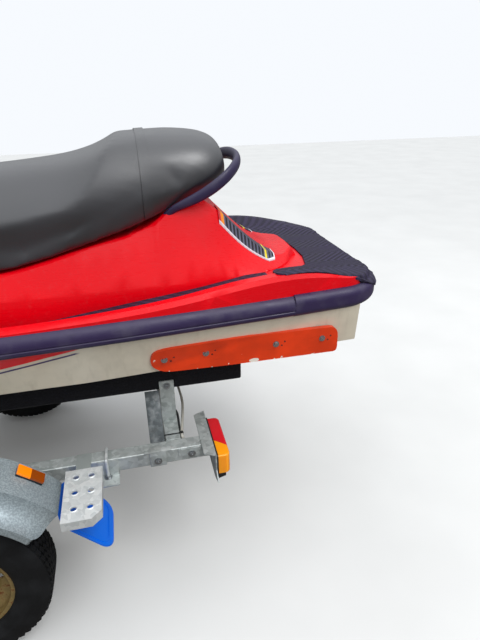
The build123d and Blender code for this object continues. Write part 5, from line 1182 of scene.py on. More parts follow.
class WATERCRAFT_OT_side_boards(bpy.types.Operator):
    """Lay the painted side boards against the flare of the hull"""

    bl_idname = "watercraft.side_boards"
    bl_label = "Lay the side boards"

    # x, low edge, high edge, from the round nose to the tail
    OUTLINE = (
        (-1.1630, 0.792, 0.798), (-1.1650, 0.780, 0.810), (-1.1690, 0.771, 0.819), (-1.1760, 0.763, 0.826),
        (-1.1870, 0.756, 0.831), (-1.2020, 0.750, 0.834), (-1.2250, 0.746, 0.836), (-1.4200, 0.742, 0.838),
        (-1.7550, 0.742, 0.834), (-1.7700, 0.742, 0.831), (-1.7790, 0.744, 0.823), (-1.7835, 0.750, 0.812),
        (-1.7850, 0.760, 0.798),
    )
    STEP = 0.012
    ROWS = 14
    THICKNESS = 0.018

    def stations(self):
        """x, low edge and high edge at close steps along the board."""
        for first, second in zip(self.OUTLINE, self.OUTLINE[1:]):
            parts = max(1, int((first[0] - second[0]) / self.STEP))
            for part in range(parts):
                yield [start + part / parts * (end - start) for start, end in zip(first, second)]
        yield self.OUTLINE[-1]

    def execute(self, context):
        hull = hull_surface()
        bm = bmesh.new()
        stations = list(self.stations())
        for side in SIDES:
            board = bmesh.ops.create_grid(bm, x_segments=len(stations) - 1, y_segments=self.ROWS, size=1.0)
            for number, vert in enumerate(board["verts"]):
                row, column = divmod(number, len(stations))
                x, low, high = stations[column]
                z = low + (high - low) * row / self.ROWS
                vert.co = (x, side * board_face(hull, x, z), z)
            if side < 0:
                turned = list(dict.fromkeys(face for vert in board["verts"] for face in vert.link_faces))
                bmesh.ops.reverse_faces(bm, faces=turned)
        bm.normal_update()
        outward = sum(face.normal.y * face.calc_center_median().y for face in bm.faces)
        if outward < 0:
            bmesh.ops.reverse_faces(bm, faces=bm.faces)
        bmesh.ops.solidify(bm, geom=bm.faces[:], thickness=self.THICKNESS)
        piece = finish_mesh(bm, "side_boards", ROOT, "sponson")
        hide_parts("sponsons")
        return {"FINISHED"}


class WATERCRAFT_OT_mat(bpy.types.Operator):
    """Lay the rear deck's rubber mat over the well, up its walls and over the stern cap"""

    bl_idname = "watercraft.mat"
    bl_label = "Lay the rear mat"

    # Distance from the middle, x of the front edge, x of the tail edge
    OUTLINE = (
        (0.000, -1.776, -1.973), (0.100, -1.771, -1.973), (0.200, -1.746, -1.972), (0.228, -1.720, -1.971),
        (0.236, -1.660, -1.970), (0.244, -1.622, -1.969), (0.260, -1.606, -1.967), (0.290, -1.603, -1.962),
        (0.320, -1.602, -1.957), (0.347, -1.601, -1.950), (0.362, -1.599, -1.940), (0.380, -1.586, -1.900),
        (0.390, -1.574, -1.800), (0.401, -1.577, -1.700), (0.412, -1.592, -1.600),
    )
    THICKNESS = 0.0055
    SUNK = 0.001
    ABOVE_ALL = 1.2
    FALL_Y = 0.272
    FALL_X = -1.9765
    FALL_Z = 0.936
    COLUMNS = 200
    ROWS = 90
    FALL_ROWS = 8
    SMOOTHING = 0.4
    PASSES = 2

    def edges_at(self, across):
        """The front and tail edge of the mat at a distance from the middle."""
        for (near, front, tail), (far, next_front, next_tail) in zip(self.OUTLINE, self.OUTLINE[1:]):
            if across <= far:
                share = (across - near) / (far - near)
                return front + share * (next_front - front), tail + share * (next_tail - tail)
        return self.OUTLINE[-1][1:]

    def column_at(self, ground, y):
        """Points of one column, from the front edge to the tail, and down behind the stern cap."""
        front, tail = self.edges_at(abs(y))
        line = []
        for row in range(self.ROWS + 1):
            x = front + (tail - front) * row / self.ROWS
            below = ground.ray_cast(Vector((x, y, self.ABOVE_ALL)), Vector((0, 0, -1)))[0]
            line.append(Vector((x, y, below.z if below else line[-1].z)))
        top = line[-1].z
        for row in range(1, self.FALL_ROWS + 1):
            share = row / self.FALL_ROWS
            line.append(Vector((self.FALL_X + self.THICKNESS, y, top + (self.FALL_Z - top) * share)))
        return line

    def execute(self, context):
        below = copy_of("deck")
        below.from_mesh(nodes["stern_cap"].data)
        ground = BVHTree.FromBMesh(below)
        below.free()
        bm = bmesh.new()
        half = self.OUTLINE[-1][0]
        rows = self.ROWS + self.FALL_ROWS
        sheet = bmesh.ops.create_grid(bm, x_segments=rows, y_segments=self.COLUMNS, size=1.0)["verts"]
        # The fold behind the stern cap ends at FALL_Y on either side
        spare = []
        for column in range(self.COLUMNS + 1):
            y = -half + 2 * half * column / self.COLUMNS
            verts = sheet[column * (rows + 1):(column + 1) * (rows + 1)]
            for vert, place in zip(verts, self.column_at(ground, y)):
                vert.co = place
            if abs(y) >= self.FALL_Y:
                spare += verts[self.ROWS + 1:]
        bmesh.ops.delete(bm, geom=spare, context="VERTS")
        for step in range(self.PASSES):
            bmesh.ops.smooth_vert(bm, verts=bm.verts, factor=self.SMOOTHING, use_axis_z=True)
        bmesh.ops.recalc_face_normals(bm, faces=bm.faces)
        bm.normal_update()
        if sum(face.normal.z for face in bm.faces) < 0:
            bmesh.ops.reverse_faces(bm, faces=bm.faces)
            bm.normal_update()
        for vert in bm.verts:
            vert.co += vert.normal * self.THICKNESS
        bmesh.ops.solidify(bm, geom=bm.faces[:], thickness=self.THICKNESS + self.SUNK)
        piece = finish_mesh(bm, "rear_deck_mat", ROOT, "mat")
        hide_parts("rear_mat")
        return {"FINISHED"}


class WATERCRAFT_OT_seat(bpy.types.Operator):
    """Make the padded seat with its cover and the passenger's strap"""

    bl_idname = "watercraft.seat"
    bl_label = "Make the seat"

    # Faces that look down by more than this, and all in front of FRONT_X, are held while the cover swells
    HELD_NORMAL_Z = -0.35
    FRONT_X = -0.152
    LAST_FRAME = 20
    COVER_PASSES = 3
    COVER_SMOOTHING = 0.5
    STRAP_UNDER_NORMAL_Z = -0.45
    STRAP_LIFT = 0.0016
    STRAP_THICKNESS = 0.0024

    def execute(self, context):
        sizes = context.scene.watercraft_seat
        bm = copy_of("seat")
        mesh = bpy.data.meshes.new("seat_cushion")
        bm.to_mesh(mesh)
        bm.free()
        cushion = bpy.data.objects.new("seat_cushion", mesh)
        context.scene.collection.objects.link(cushion)
        context.view_layer.objects.active = cushion
        cushion.select_set(True)
        mesh.remesh_voxel_size = sizes.voxel
        bpy.ops.object.voxel_remesh()
        start = [v.co.copy() for v in cushion.data.vertices]
        normals = [v.normal.copy() for v in cushion.data.vertices]
        self.swell(context, cushion, sizes, start, normals)
        bm = bmesh.new()
        bm.from_mesh(cushion.data)
        for step in range(self.COVER_PASSES):
            bmesh.ops.smooth_vert(bm, verts=bm.verts, factor=self.COVER_SMOOTHING, use_axis_x=True,
                                  use_axis_y=True, use_axis_z=True)
        bm.to_mesh(cushion.data)
        bm.free()
        cushion.data.materials.clear()
        cushion.data.materials.append(finish("vinyl"))
        cushion.data.shade_smooth()
        rounding = cushion.modifiers.new("rounded_cover", "SUBSURF")
        rounding.levels = rounding.render_levels = 1
        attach(cushion, ROOT)
        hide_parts("seat")
        self.strap(cushion, sizes)
        return {"FINISHED"}

    def swell(self, context, cushion, sizes, start, normals):
        """The foam pushes its cover outwards in a short cloth simulation."""
        pinned = cushion.vertex_groups.new(name="held")
        held = [i for i, n in enumerate(normals) if n.z < self.HELD_NORMAL_Z or start[i].x > self.FRONT_X]
        pinned.add(held, 1.0, "REPLACE")
        cloth = cushion.modifiers.new("swelling", "CLOTH")
        cloth.settings.vertex_group_mass = "held"
        cloth.settings.use_pressure = True
        cloth.settings.uniform_pressure_force = sizes.pressure
        cloth.settings.effector_weights.gravity = 0.0
        cloth.settings.tension_stiffness = 25
        cloth.settings.compression_stiffness = 15
        cloth.settings.bending_stiffness = 4
        cloth.point_cache.frame_start = 1
        cloth.point_cache.frame_end = self.LAST_FRAME
        for number in range(1, self.LAST_FRAME + 1):
            context.scene.frame_set(number)
        evaluated = cushion.evaluated_get(context.evaluated_depsgraph_get())
        moved = [v.co.copy() for v in evaluated.data.vertices]
        cushion.modifiers.remove(cloth)
        context.scene.frame_set(1)
        for vertex, before, after in zip(cushion.data.vertices, start, moved):
            step = after - before
            if step.length > sizes.reach:
                step.length = sizes.reach
            vertex.co = before + step

    def strap(self, cushion, sizes):
        """A band of the cover, lifted off it and given its thickness."""
        depsgraph = bpy.context.evaluated_depsgraph_get()
        bm = bmesh.new()
        bm.from_object(cushion, depsgraph)
        low = sizes.strap_x - sizes.strap_width / 2
        high = sizes.strap_x + sizes.strap_width / 2
        for x, outward in ((low, -1), (high, 1)):
            bmesh.ops.bisect_plane(bm, geom=bm.verts[:] + bm.edges[:] + bm.faces[:], plane_co=(x, 0, 0),
                                   plane_no=(outward, 0, 0), clear_outer=True)
        under = [f for f in bm.faces if f.normal.z < self.STRAP_UNDER_NORMAL_Z]
        bmesh.ops.delete(bm, geom=under, context="FACES")
        for v in bm.verts:
            v.co += v.normal * self.STRAP_LIFT
        bmesh.ops.solidify(bm, geom=bm.faces[:], thickness=-self.STRAP_THICKNESS)
        piece = finish_mesh(bm, "seat_strap_band", ROOT, "vinyl")
        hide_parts("seat_strap")


class WATERCRAFT_OT_tyres(bpy.types.Operator):
    """Make the tyres with grooved treads and ribbed side walls"""

    bl_idname = "watercraft.tyres"
    bl_label = "Make the tyres"

    # Half the tyre's section from the tread's middle to the bead: across, and up from the tread's floor
    PROFILE = (
        (0.0, 0.0), (0.050, 0.0), (0.056, -0.0012), (0.0625, -0.008), (0.0668, -0.020), (0.0700, -0.036),
        (0.0716, -0.048), (0.0725, -0.050), (0.0725, -0.055), (0.0716, -0.057), (0.0708, -0.068),
        (0.0680, -0.082), (0.0640, -0.091), (0.0600, -0.0945), (0.0595, -0.0965), (0.0580, -0.0958),
        (0.0480, -0.1005), (0.0462, -0.1060),
    )
    # Each row of tread blocks: across, width, and shift round the tyre as a share of the pitch
    TREAD_ROWS = (
        (-0.0475, 0.013, 0.35), (-0.0290, 0.015, 0.0), (-0.0095, 0.016, 0.5),
        (0.0095, 0.016, 0.0), (0.0290, 0.015, 0.5), (0.0475, 0.013, 0.85),
    )
    BLOCK_LENGTH = 0.0205
    BLOCK_ROOT = 0.004
    BLOCK_SKEW = radians(14)
    SHOULDER_Y = 0.04
    SHOULDER_DROP = 0.0008
    STEPS = 96

    def execute(self, context):
        sizes = context.scene.watercraft_fittings
        for side, name in SIDE_NAMES:
            self.make_tyre(name, wheel_centre(side), sizes)
        return {"FINISHED"}

    def make_tyre(self, name, centre, sizes):
        outer = AXLE.z
        base = outer - sizes.tread_depth
        half = [(across, base + drop) for across, drop in self.PROFILE]
        outline = half[::-1] + [(-across, radius) for across, radius in half[1:]]
        bm = bmesh.new()
        ring = [bm.verts.new((0.0, across, radius)) for across, radius in outline]
        edges = [bm.edges.new(pair) for pair in zip(ring, ring[1:])]
        edges.append(bm.edges.new((ring[-1], ring[0])))
        bmesh.ops.spin(bm, geom=ring + edges, cent=(0, 0, 0), axis=(0, 1, 0), dvec=(0, 0, 0), angle=2 * pi,
                       steps=self.STEPS, use_merge=True)
        bmesh.ops.remove_doubles(bm, verts=bm.verts, dist=JOIN_DISTANCE)
        pitch = 2 * pi / sizes.tread_pitches
        height = sizes.tread_depth + self.BLOCK_ROOT
        for across, width, shift in self.TREAD_ROWS:
            drop = self.SHOULDER_DROP if abs(across) > self.SHOULDER_Y else 0.0
            skew = Matrix.Rotation(self.BLOCK_SKEW if across > 0 else -self.BLOCK_SKEW, 4, "Z")
            for step in range(sizes.tread_pitches):
                turn = Matrix.Rotation((step + shift) * pitch, 4, "Y")
                place = turn @ Matrix.Translation((0, across, outer - drop - height / 2)) @ skew
                add_box(bm, (self.BLOCK_LENGTH, width, height), place)
        bmesh.ops.transform(bm, matrix=Matrix.Translation(centre), verts=bm.verts)
        piece = finish_mesh(bm, f"tyre_treaded_{name}", f"road_wheel_{name}", "tyre")
        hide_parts(f"tyre_{name}")


class WATERCRAFT_OT_wheel_fittings(bpy.types.Operator):
    """Add wheel nuts and air valves"""

    bl_idname = "watercraft.wheel_fittings"
    bl_label = "Add wheel fittings"

    NUT_COUNT = 4
    NUT_CIRCLE = 0.049
    NUT_SEAT_Y = 0.0265
    # Radius at the near end, radius at the far end, start, end, number of sides
    NUT = (
        (0.0125, 0.0095, -0.002, 0.006, 20), (0.0098, 0.0098, 0.004, 0.016, 6),
        (0.0098, 0.0050, 0.016, 0.020, 6),
    )
    VALVE = ((0.0058, 0.0048, -0.004, 0.020, 16), (0.0046, 0.0046, 0.020, 0.030, 16))
    VALVE_CIRCLE = 0.138
    VALVE_Y = 0.016
    VALVE_LEAN = -0.35

    def execute(self, context):
        for side, name in SIDE_NAMES:
            centre = wheel_centre(side)
            nuts = bmesh.new()
            for step in range(self.NUT_COUNT):
                angle = (step + 0.5) * 2 * pi / self.NUT_COUNT
                spoke = self.NUT_CIRCLE * Vector((cos(angle), 0, sin(angle)))
                seat = centre + spoke + Vector((0, side * self.NUT_SEAT_Y, 0))
                add_turned(nuts, placed(seat, (0, side, 0)), self.NUT)
            finish_mesh(nuts, f"wheel_nuts_{name}", f"road_wheel_{name}", "zinc")
            valve = bmesh.new()
            foot = centre + Vector((self.VALVE_CIRCLE, side * self.VALVE_Y, 0.0))
            add_turned(valve, placed(foot, (self.VALVE_LEAN, side, 0)), self.VALVE)
            finish_mesh(valve, f"air_valve_{name}", f"road_wheel_{name}", "black_rubber")
        return {"FINISHED"}


class WATERCRAFT_OT_deck_fittings(bpy.types.Operator):
    """Add the gauge, handlebar pad, levers, tie-down knob and the screws of the side boards"""

    bl_idname = "watercraft.deck_fittings"
    bl_label = "Add deck fittings"

    GAUGE_PLACE = (-0.030, 0.0, 1.4165)
    GAUGE_FACES = (-0.42, 0, 1)
    # Radius at the near end, radius at the far end, start, end, number of sides
    GAUGE = ((0.050, 0.046, -0.012, 0.006, 40), (0.040, 0.040, 0.006, 0.0075, 40))
    KNOB_PLACE = (-1.395, -0.415, 1.000)
    KNOB_FACES = (0, -0.1, 1)
    KNOB = ((0.013, 0.011, 0.0, 0.010, 24), (0.011, 0.015, 0.010, 0.016, 24))
    PAD = (0.062, 0.170, 0.046)
    PAD_PLACE = (0.0, 0.0, 1.487)
    PAD_TILT = radians(-24)
    SWITCH = (0.040, 0.034, 0.034)
    SWITCH_X, SWITCH_Y, SWITCH_Z = -0.052, 0.238, 1.509
    LEVER = (0.012, 0.085, 0.012)
    LEVER_PLACE = (-0.020, -0.286, 1.513)
    LEVER_TURN = radians(-20)
    # x and z of each screw, and the old holes beside it
    BOARD_SCREWS = ((-1.205, 0.795), (-1.337, 0.797), (-1.569, 0.797), (-1.729, 0.797))
    OLD_HOLES = ((-0.020, -0.007), (-0.030, 0.006))
    OLD_HOLE_RADIUS = 0.0027
    SCREW_HEAD = 0.0062

    def execute(self, context):
        self.gauge()
        self.crash_pad()
        self.levers()
        self.knobs()
        self.sponson_bolts()
        return {"FINISHED"}

    def gauge(self):
        bm = bmesh.new()
        add_turned(bm, placed(self.GAUGE_PLACE, self.GAUGE_FACES), self.GAUGE)
        finish_mesh(bm, "gauge_bezel", ROOT, "gauge")

    def crash_pad(self):
        bm = bmesh.new()
        tilted = Matrix.Translation(self.PAD_PLACE) @ Matrix.Rotation(self.PAD_TILT, 4, "Y")
        add_box(bm, self.PAD, tilted, 14 * MM, 4)
        finish_mesh(bm, "handlebar_pad", "steering", "black_rubber")

    def levers(self):
        switches = bmesh.new()
        for side in SIDES:
            place = Matrix.Translation((self.SWITCH_X, side * self.SWITCH_Y, self.SWITCH_Z))
            add_box(switches, self.SWITCH, place, 6 * MM, 3)
        finish_mesh(switches, "switch_blocks", "steering", "black")
        lever = bmesh.new()
        turned = Matrix.Translation(self.LEVER_PLACE) @ Matrix.Rotation(self.LEVER_TURN, 4, "Z")
        add_box(lever, self.LEVER, turned, 4 * MM, 3)
        finish_mesh(lever, "throttle_lever", "steering", "cast")

    def knobs(self):
        bm = bmesh.new()
        add_turned(bm, placed(self.KNOB_PLACE, self.KNOB_FACES), self.KNOB)
        finish_mesh(bm, "tie_down_knob", ROOT, "black")

    def sponson_bolts(self):
        """Hexagon screws on washers along each side board, each beside two old holes."""
        hull = hull_surface()
        screws = bmesh.new()
        holes = bmesh.new()
        for side in SIDES:
            out = (0, side, 0)
            for x, z in self.BOARD_SCREWS:
                face = side * board_face(hull, x, z)
                # Each head is turned by its own angle, as spanners leave them
                add_bolt(screws, (x, face, z), out, self.SCREW_HEAD, roll=x * 9)
                for dx, dz in self.OLD_HOLES:
                    add_cone(holes, placed((x + dx, face, z + dz), out), self.OLD_HOLE_RADIUS,
                             self.OLD_HOLE_RADIUS, -1 * MM, 0.6 * MM, 12)
        finish_mesh(screws, "sponson_bolts", ROOT, "stainless")
        finish_mesh(holes, "sponson_old_screw_holes", ROOT, "black")


class WATERCRAFT_OT_trailer_fittings(bpy.types.Operator):
    """Add the trailer's bolts, clamps, hole rims, cable ties and lamp wiring"""

    bl_idname = "watercraft.trailer_fittings"
    bl_label = "Add trailer fittings"

    STUD = 0.004
    # x and z of the bolts through each side rail
    RAIL_BOLTS = ((-1.153, 0.466), (-1.263, 0.474), (-1.316, 0.474))
    RAIL_FACE_Y = 0.502
    BUNK_BOLTS_X = (-1.210, 0.020)
    BUNK_Y, BUNK_HALF_WIDTH, BUNK_BOLT_Z = 0.305, 0.0315, 0.640
    AXLE_BOLT_REACH, AXLE_BOLT_Y, AXLE_BOLT_Z = 0.230, 0.512, 0.505
    POST_BOLT_X, POST_BOLT_REACH, POST_BOLT_Y, POST_BOLT_Z = 0.905, 0.045, 0.034, 0.506

    # Plates of each clamp and saddle: length, width, height, then x, y and z of the middle
    PLATES = (
        (0.063, 0.004, 0.063, -0.9965, 0.500, 0.4685), (0.058, 0.116, 0.004, -0.999, 0.490, 0.438),
        (0.058, 0.050, 0.010, -0.999, 0.473, 0.445), (0.052, 0.004, 0.056, -1.154, 0.500, 0.474),
        (0.086, 0.030, 0.004, -1.155, 0.487, 0.502),
    )
    STRUT = (0.048, 0.005, 0.170)
    STRUT_X, STRUT_Y, STRUT_Z = -1.158, 0.397, 0.567
    STRUT_LEAN = radians(40)
    CLAMP_X = -0.993
    CLAMP_LEGS = (0.443, 0.507)
    CLAMP_LEG_Z = (0.424, 0.465, 0.496, 0.505)
    CLAMP_TOP_Y = (0.452, 0.475, 0.498)
    CLAMP_RADIUS = 0.005
    NUT_BELOW_Z, NUT_ABOVE_Z = 0.436, 0.440

    STEP_HOLES_X = (-0.955, -0.911)
    STEP_HOLES_Y = (0.590, 0.652, 0.714)
    STEP_TOP_Z = 0.530
    # Radius and height of the rim's section
    RIM = ((0.0085, -0.0035), (0.0092, 0.0016), (0.0102, 0.0020), (0.0130, -0.0006))

    # Port half of the conduit, from the lamp inwards
    CONDUIT = (
        (-1.3295, 0.430, 0.447), (-1.312, 0.430, 0.450), (-1.270, 0.430, 0.462), (-1.243, 0.434, 0.486),
        (-1.2410, 0.425, 0.499), (-1.2475, 0.381, 0.498), (-1.257, 0.323, 0.496), (-1.272, 0.215, 0.490),
        (-1.266, 0.09, 0.488),
    )
    CONDUIT_RADIUS = 0.0048
    # Port lead, from under the cross member over its top to the conduit
    LEAD = (
        (-1.176, 0.268, 0.452), (-1.178, 0.272, 0.490), (-1.184, 0.276, 0.506), (-1.212, 0.277, 0.5045),
        (-1.236, 0.280, 0.5045), (-1.2415, 0.310, 0.500), (-1.2400, 0.345, 0.494), (-1.2395, 0.372, 0.474),
        (-1.2395, 0.400, 0.456),
    )
    LEAD_RADIUS = 0.0042
    TIES_Y = (0.418, -0.4225)
    # x and z of a tie, round the cross member and the conduit beside it
    TIE = (
        (-1.1838, 0.5012), (-1.1838, 0.4488), (-1.2362, 0.4488), (-1.2362, 0.490), (-1.2465, 0.497),
        (-1.2465, 0.5035), (-1.241, 0.5055), (-1.2365, 0.5035), (-1.2330, 0.5012),
    )
    TIE_WIDTH, TIE_THICKNESS = 0.0045, 0.0014
    TIE_LOCK = (0.007, 0.008, 0.005)
    TIE_LOCK_X, TIE_LOCK_Y, TIE_LOCK_Z = -1.242, 0.006, 0.5075

    def execute(self, context):
        size = context.scene.watercraft_fittings.bolt_head
        self.bolts(size)
        self.clamps(size)
        self.hole_rims()
        self.wiring()
        return {"FINISHED"}

    def bolts(self, size):
        bm = bmesh.new()
        up = (0, 0, 1)
        for side in SIDES:
            for x, z in self.RAIL_BOLTS:
                add_bolt(bm, (x, side * self.RAIL_FACE_Y, z), (0, side, 0), size, stud=self.STUD)
            for x in self.BUNK_BOLTS_X:
                for inward in (-1, 1):
                    y = side * self.BUNK_Y + inward * self.BUNK_HALF_WIDTH
                    add_bolt(bm, (x, y, self.BUNK_BOLT_Z), (0, inward, 0), size, stud=self.STUD)
            for dx in (-self.AXLE_BOLT_REACH, self.AXLE_BOLT_REACH):
                add_bolt(bm, (AXLE.x + dx, side * self.AXLE_BOLT_Y, self.AXLE_BOLT_Z), up, size)
            for dx in (-self.POST_BOLT_REACH, self.POST_BOLT_REACH):
                add_bolt(bm, (self.POST_BOLT_X + dx, side * self.POST_BOLT_Y, self.POST_BOLT_Z), up, size)
        finish_mesh(bm, "frame_bolts", ROOT, "zinc")

    def clamps(self, size):
        """Bent bars over the rails, their plates, and the saddles and struts at the rear cross member."""
        plates = bmesh.new()
        nuts = bmesh.new()
        struts = bmesh.new()
        inner, outer = self.CLAMP_LEGS
        for side, name in SIDE_NAMES:
            for width, depth, height, x, y, z in self.PLATES:
                add_box(plates, (width, depth, height), Matrix.Translation((x, side * y, z)), 1 * MM)
            lean = Matrix.Rotation(side * self.STRUT_LEAN, 4, "X")
            middle = Matrix.Translation((self.STRUT_X, side * self.STRUT_Y, self.STRUT_Z))
            add_box(struts, self.STRUT, middle @ lean, 1 * MM)
            route = [(self.CLAMP_X, side * inner, z) for z in self.CLAMP_LEG_Z]
            route += [(self.CLAMP_X, side * y, self.CLAMP_LEG_Z[-1]) for y in self.CLAMP_TOP_Y]
            route += [(self.CLAMP_X, side * outer, z) for z in self.CLAMP_LEG_Z[::-1]]
            tube_mesh(f"rail_clamp_bar_{name}", route, self.CLAMP_RADIUS, ROOT, "bar")
            for y in self.CLAMP_LEGS:
                add_bolt(nuts, (self.CLAMP_X, side * y, self.NUT_BELOW_Z), (0, 0, -1), size)
            add_bolt(nuts, (self.CLAMP_X, side * outer, self.NUT_ABOVE_Z), (0, 0, 1), size)
        finish_mesh(nuts, "rail_clamp_nuts", ROOT, "zinc")
        piece = finish_mesh(plates, "rail_clamp_plates", ROOT, "galvanised")
        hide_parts("u_bolts")
        # The struts' dark zinc is painted shade from the hull above them.
        finish_mesh(struts, "bunk_struts", ROOT, "steel_painted_shade")

    def hole_rims(self):
        """Rims that the punch raised round the holes of the step plates."""
        bm = bmesh.new()
        for side in SIDES:
            for x in self.STEP_HOLES_X:
                for y in self.STEP_HOLES_Y:
                    self.rim(bm, Vector((x, side * y, self.STEP_TOP_Z)))
        finish_mesh(bm, "step_hole_rims", ROOT, "step")

    def rim(self, bm, centre):
        ring = [bm.verts.new(centre + Vector((radius, 0, height))) for radius, height in self.RIM]
        edges = [bm.edges.new(pair) for pair in zip(ring, ring[1:])]
        bmesh.ops.spin(bm, geom=ring + edges, cent=centre, axis=(0, 0, 1), dvec=(0, 0, 0), angle=2 * pi,
                       steps=28, use_merge=True)

    def wiring(self):
        """Conduit of the lamp leads, tied along the rear cross member, and the black leads that cross it."""
        route = list(self.CONDUIT) + [(x, -y, z) for x, y, z in self.CONDUIT[::-1]]
        tube_mesh("lamp_wiring_conduit", route, self.CONDUIT_RADIUS, ROOT, "conduit")
        for side, name in SIDE_NAMES:
            lead = [(x, side * y, z) for x, y, z in self.LEAD]
            tube_mesh(f"lamp_lead_{name}", lead, self.LEAD_RADIUS, ROOT, "black")
        for number, y in enumerate(self.TIES_Y):
            loop = bmesh.new()
            self.tie(loop, y)
            finish_mesh(loop, f"cable_tie_{number}", ROOT, "black")

    def tie(self, bm, y):
        ring = [bm.verts.new((x, y, z)) for x, z in self.TIE]
        edges = [bm.edges.new(pair) for pair in zip(ring, ring[1:] + ring[:1])]
        swept = bmesh.ops.extrude_edge_only(bm, edges=edges)["geom"]
        moved = [g for g in swept if isinstance(g, bmesh.types.BMVert)]
        bmesh.ops.translate(bm, vec=(0, self.TIE_WIDTH, 0), verts=moved)
        bmesh.ops.solidify(bm, geom=bm.faces[:], thickness=self.TIE_THICKNESS)
        lock = Matrix.Translation((self.TIE_LOCK_X, y + self.TIE_LOCK_Y, self.TIE_LOCK_Z))
        add_box(bm, self.TIE_LOCK, lock, 1 * MM)


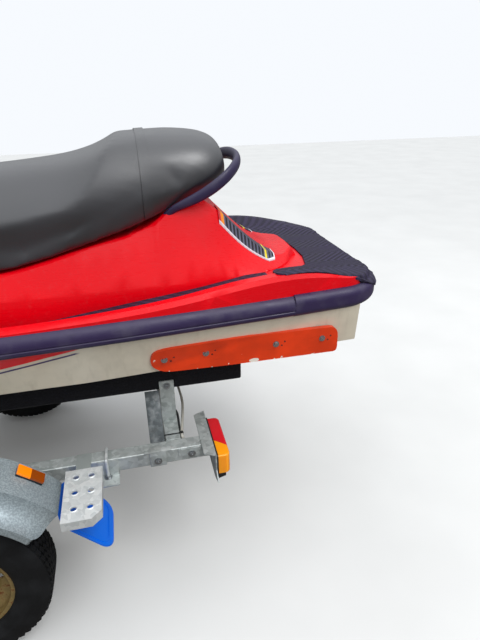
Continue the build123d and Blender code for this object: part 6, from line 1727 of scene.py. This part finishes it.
class WATERCRAFT_OT_stage(bpy.types.Operator):
    """Set up the floor, the plain light and the camera"""

    bl_idname = "watercraft.stage"
    bl_label = "Set the stage"

    # Name, kind, power, place, point that it is aimed at, and its angle or its size
    LAMPS = (
        ("overcast_sun", "SUN", 1.1, (-2.0, 2.2, 5.0), (0.0, 0.0, 0.6), radians(28)),
        ("soft_front", "AREA", 60.0, (-2.6, 4.2, 3.2), (-0.8, 0.0, 0.8), 3.0),
        ("soft_stern", "AREA", 20.0, (-5.0, -0.6, 2.8), (-1.2, 0.0, 0.8), 2.5),
    )
    SKY = (0.93, 0.96, 1.0, 1.0)
    CAMERA_PLACE = (-1.130, 1.80, 1.55)
    PITCH = radians(24.8)
    YAW = radians(13.1)
    ROLL = radians(-1.0)
    SENSOR_HEIGHT = 36.0
    FAR_END = 60.0

    def execute(self, context):
        scene = context.scene
        sizes = scene.watercraft_stage
        scene.view_settings.view_transform = "Standard"
        self.floor(sizes)
        self.world(scene)
        self.lamps(scene)
        self.camera(scene, sizes)
        return {"FINISHED"}

    def floor(self, sizes):
        """A floor that looks pale, and throws no more light up at the craft than worn concrete does."""
        bm = bmesh.new()
        bmesh.ops.create_grid(bm, x_segments=1, y_segments=1, size=sizes.floor_half)
        mesh = bpy.data.meshes.new("floor")
        bm.to_mesh(mesh)
        bm.free()
        material, tree, shader, place = start_material("pale_floor", Roughness=0.95, Specular_IOR_Level=0.1)
        cloud = add_node(tree, "ShaderNodeMapRange", {
            "Value": add_node(tree, "ShaderNodeTexNoise", {
                "Vector": place, "Scale": 1 / (500 * MM), "Detail": 3.0,
            }),
            "From Min": 0.3, "From Max": 0.7,
        })
        seen = add_node(tree, "ShaderNodeLightPath").outputs["Is Camera Ray"]
        pale = add_node(tree, "ShaderNodeMix", {
            "Factor": cloud, "A": linear("#D2D2D0"), "B": linear("#D8D8D6"),
        }, data_type="RGBA")
        set_inputs(tree, shader, {
            "Base Color": add_node(tree, "ShaderNodeMix", {
                "Factor": seen, "A": linear("#6F6C68"), "B": pale,
            }, data_type="RGBA"),
        })
        mesh.materials.append(material)
        floor = bpy.data.objects.new("floor", mesh)
        bpy.context.scene.collection.objects.link(floor)

    def world(self, scene):
        """White where the camera sees it; as a light, a cloudy sky, bright overhead and dim low down."""
        world = bpy.data.worlds.new("plain_sky")
        scene.world = world
        world.use_nodes = True
        tree = world.node_tree
        tree.nodes.clear()
        direction = add_node(tree, "ShaderNodeTexCoord").outputs["Generated"]
        height = add_node(tree, "ShaderNodeSeparateXYZ", {"Vector": direction}).outputs[2]
        cloudy = add_node(tree, "ShaderNodeMapRange", {
            "Value": height, "From Min": 0.05, "From Max": 0.95, "To Min": 0.22, "To Max": 1.45,
        })
        seen = add_node(tree, "ShaderNodeLightPath").outputs["Is Camera Ray"]
        strength = add_node(tree, "ShaderNodeMix", {
            "Factor": seen, "A": cloudy, "B": 1.0,
        }, data_type="FLOAT")
        sky = add_node(tree, "ShaderNodeBackground", {"Color": self.SKY, "Strength": strength})
        add_node(tree, "ShaderNodeOutputWorld", {"Surface": sky})

    def lamps(self, scene):
        for name, kind, energy, place, aim, size in self.LAMPS:
            lamp = bpy.data.lights.new(name, kind)
            lamp.energy = energy
            if kind == "SUN":
                lamp.angle = size
            else:
                lamp.size = size
            holder = bpy.data.objects.new(name, lamp)
            scene.collection.objects.link(holder)
            holder.visible_glossy = kind == "SUN"
            holder.location = place
            holder.rotation_euler = (Vector(aim) - Vector(place)).to_track_quat("-Z", "Y").to_euler()

    def camera(self, scene, sizes):
        level = Vector((-sin(self.YAW), -cos(self.YAW), 0.0))
        forward = cos(self.PITCH) * level + Vector((0, 0, -sin(self.PITCH)))
        right = Vector((-cos(self.YAW), sin(self.YAW), 0.0))
        upward = right.cross(forward)
        turned_right = cos(self.ROLL) * right + sin(self.ROLL) * upward
        turned_up = cos(self.ROLL) * upward - sin(self.ROLL) * right
        lens = bpy.data.cameras.new("photo_camera")
        lens.lens = sizes.lens
        lens.sensor_fit = "VERTICAL"
        lens.sensor_height = self.SENSOR_HEIGHT
        lens.clip_end = self.FAR_END
        camera = bpy.data.objects.new("photo_camera", lens)
        scene.collection.objects.link(camera)
        turn = Matrix((turned_right, turned_up, -forward)).transposed().to_4x4()
        camera.matrix_world = Matrix.Translation(self.CAMERA_PLACE) @ turn
        scene.camera = camera


PIECES = (
    WATERCRAFT_OT_stage, WATERCRAFT_OT_shell, WATERCRAFT_OT_trailer, WATERCRAFT_OT_side_boards,
    WATERCRAFT_OT_mat, WATERCRAFT_OT_seat, WATERCRAFT_OT_tyres, WATERCRAFT_OT_wheel_fittings,
    WATERCRAFT_OT_deck_fittings, WATERCRAFT_OT_trailer_fittings,
)


class WATERCRAFT_PT_panel(bpy.types.Panel):
    """Sizes, colours and pieces of the watercraft"""

    bl_label = "Watercraft"
    bl_idname = "WATERCRAFT_PT_panel"
    bl_space_type = "VIEW_3D"
    bl_region_type = "UI"
    bl_category = "Watercraft"

    def draw(self, context):
        column = self.layout.column()
        for group in ("watercraft_colours", "watercraft_seat", "watercraft_fittings", "watercraft_stage"):
            settings = getattr(context.scene, group)
            for name in settings.bl_rna.properties.keys():
                if name not in ("rna_type", "name"):
                    column.prop(settings, name)
        for piece in PIECES:
            column.operator(piece.bl_idname)


SETTINGS = (
    ("watercraft_colours", WatercraftColours), ("watercraft_seat", SeatSizes),
    ("watercraft_fittings", FittingSizes), ("watercraft_stage", StageSizes),
)


def register():
    for name, group in SETTINGS:
        bpy.utils.register_class(group)
        setattr(bpy.types.Scene, name, PointerProperty(type=group))
    for piece in PIECES:
        bpy.utils.register_class(piece)
    bpy.utils.register_class(WATERCRAFT_PT_panel)


def unregister():
    bpy.utils.unregister_class(WATERCRAFT_PT_panel)
    for piece in reversed(PIECES):
        bpy.utils.unregister_class(piece)
    for name, group in reversed(SETTINGS):
        delattr(bpy.types.Scene, name)
        bpy.utils.unregister_class(group)


def main():
    register()
    for piece in PIECES:
        module, name = piece.bl_idname.split(".")
        getattr(getattr(bpy.ops, module), name)()
    bpy.context.view_layer.update()


if __name__ == "__main__":
    main()
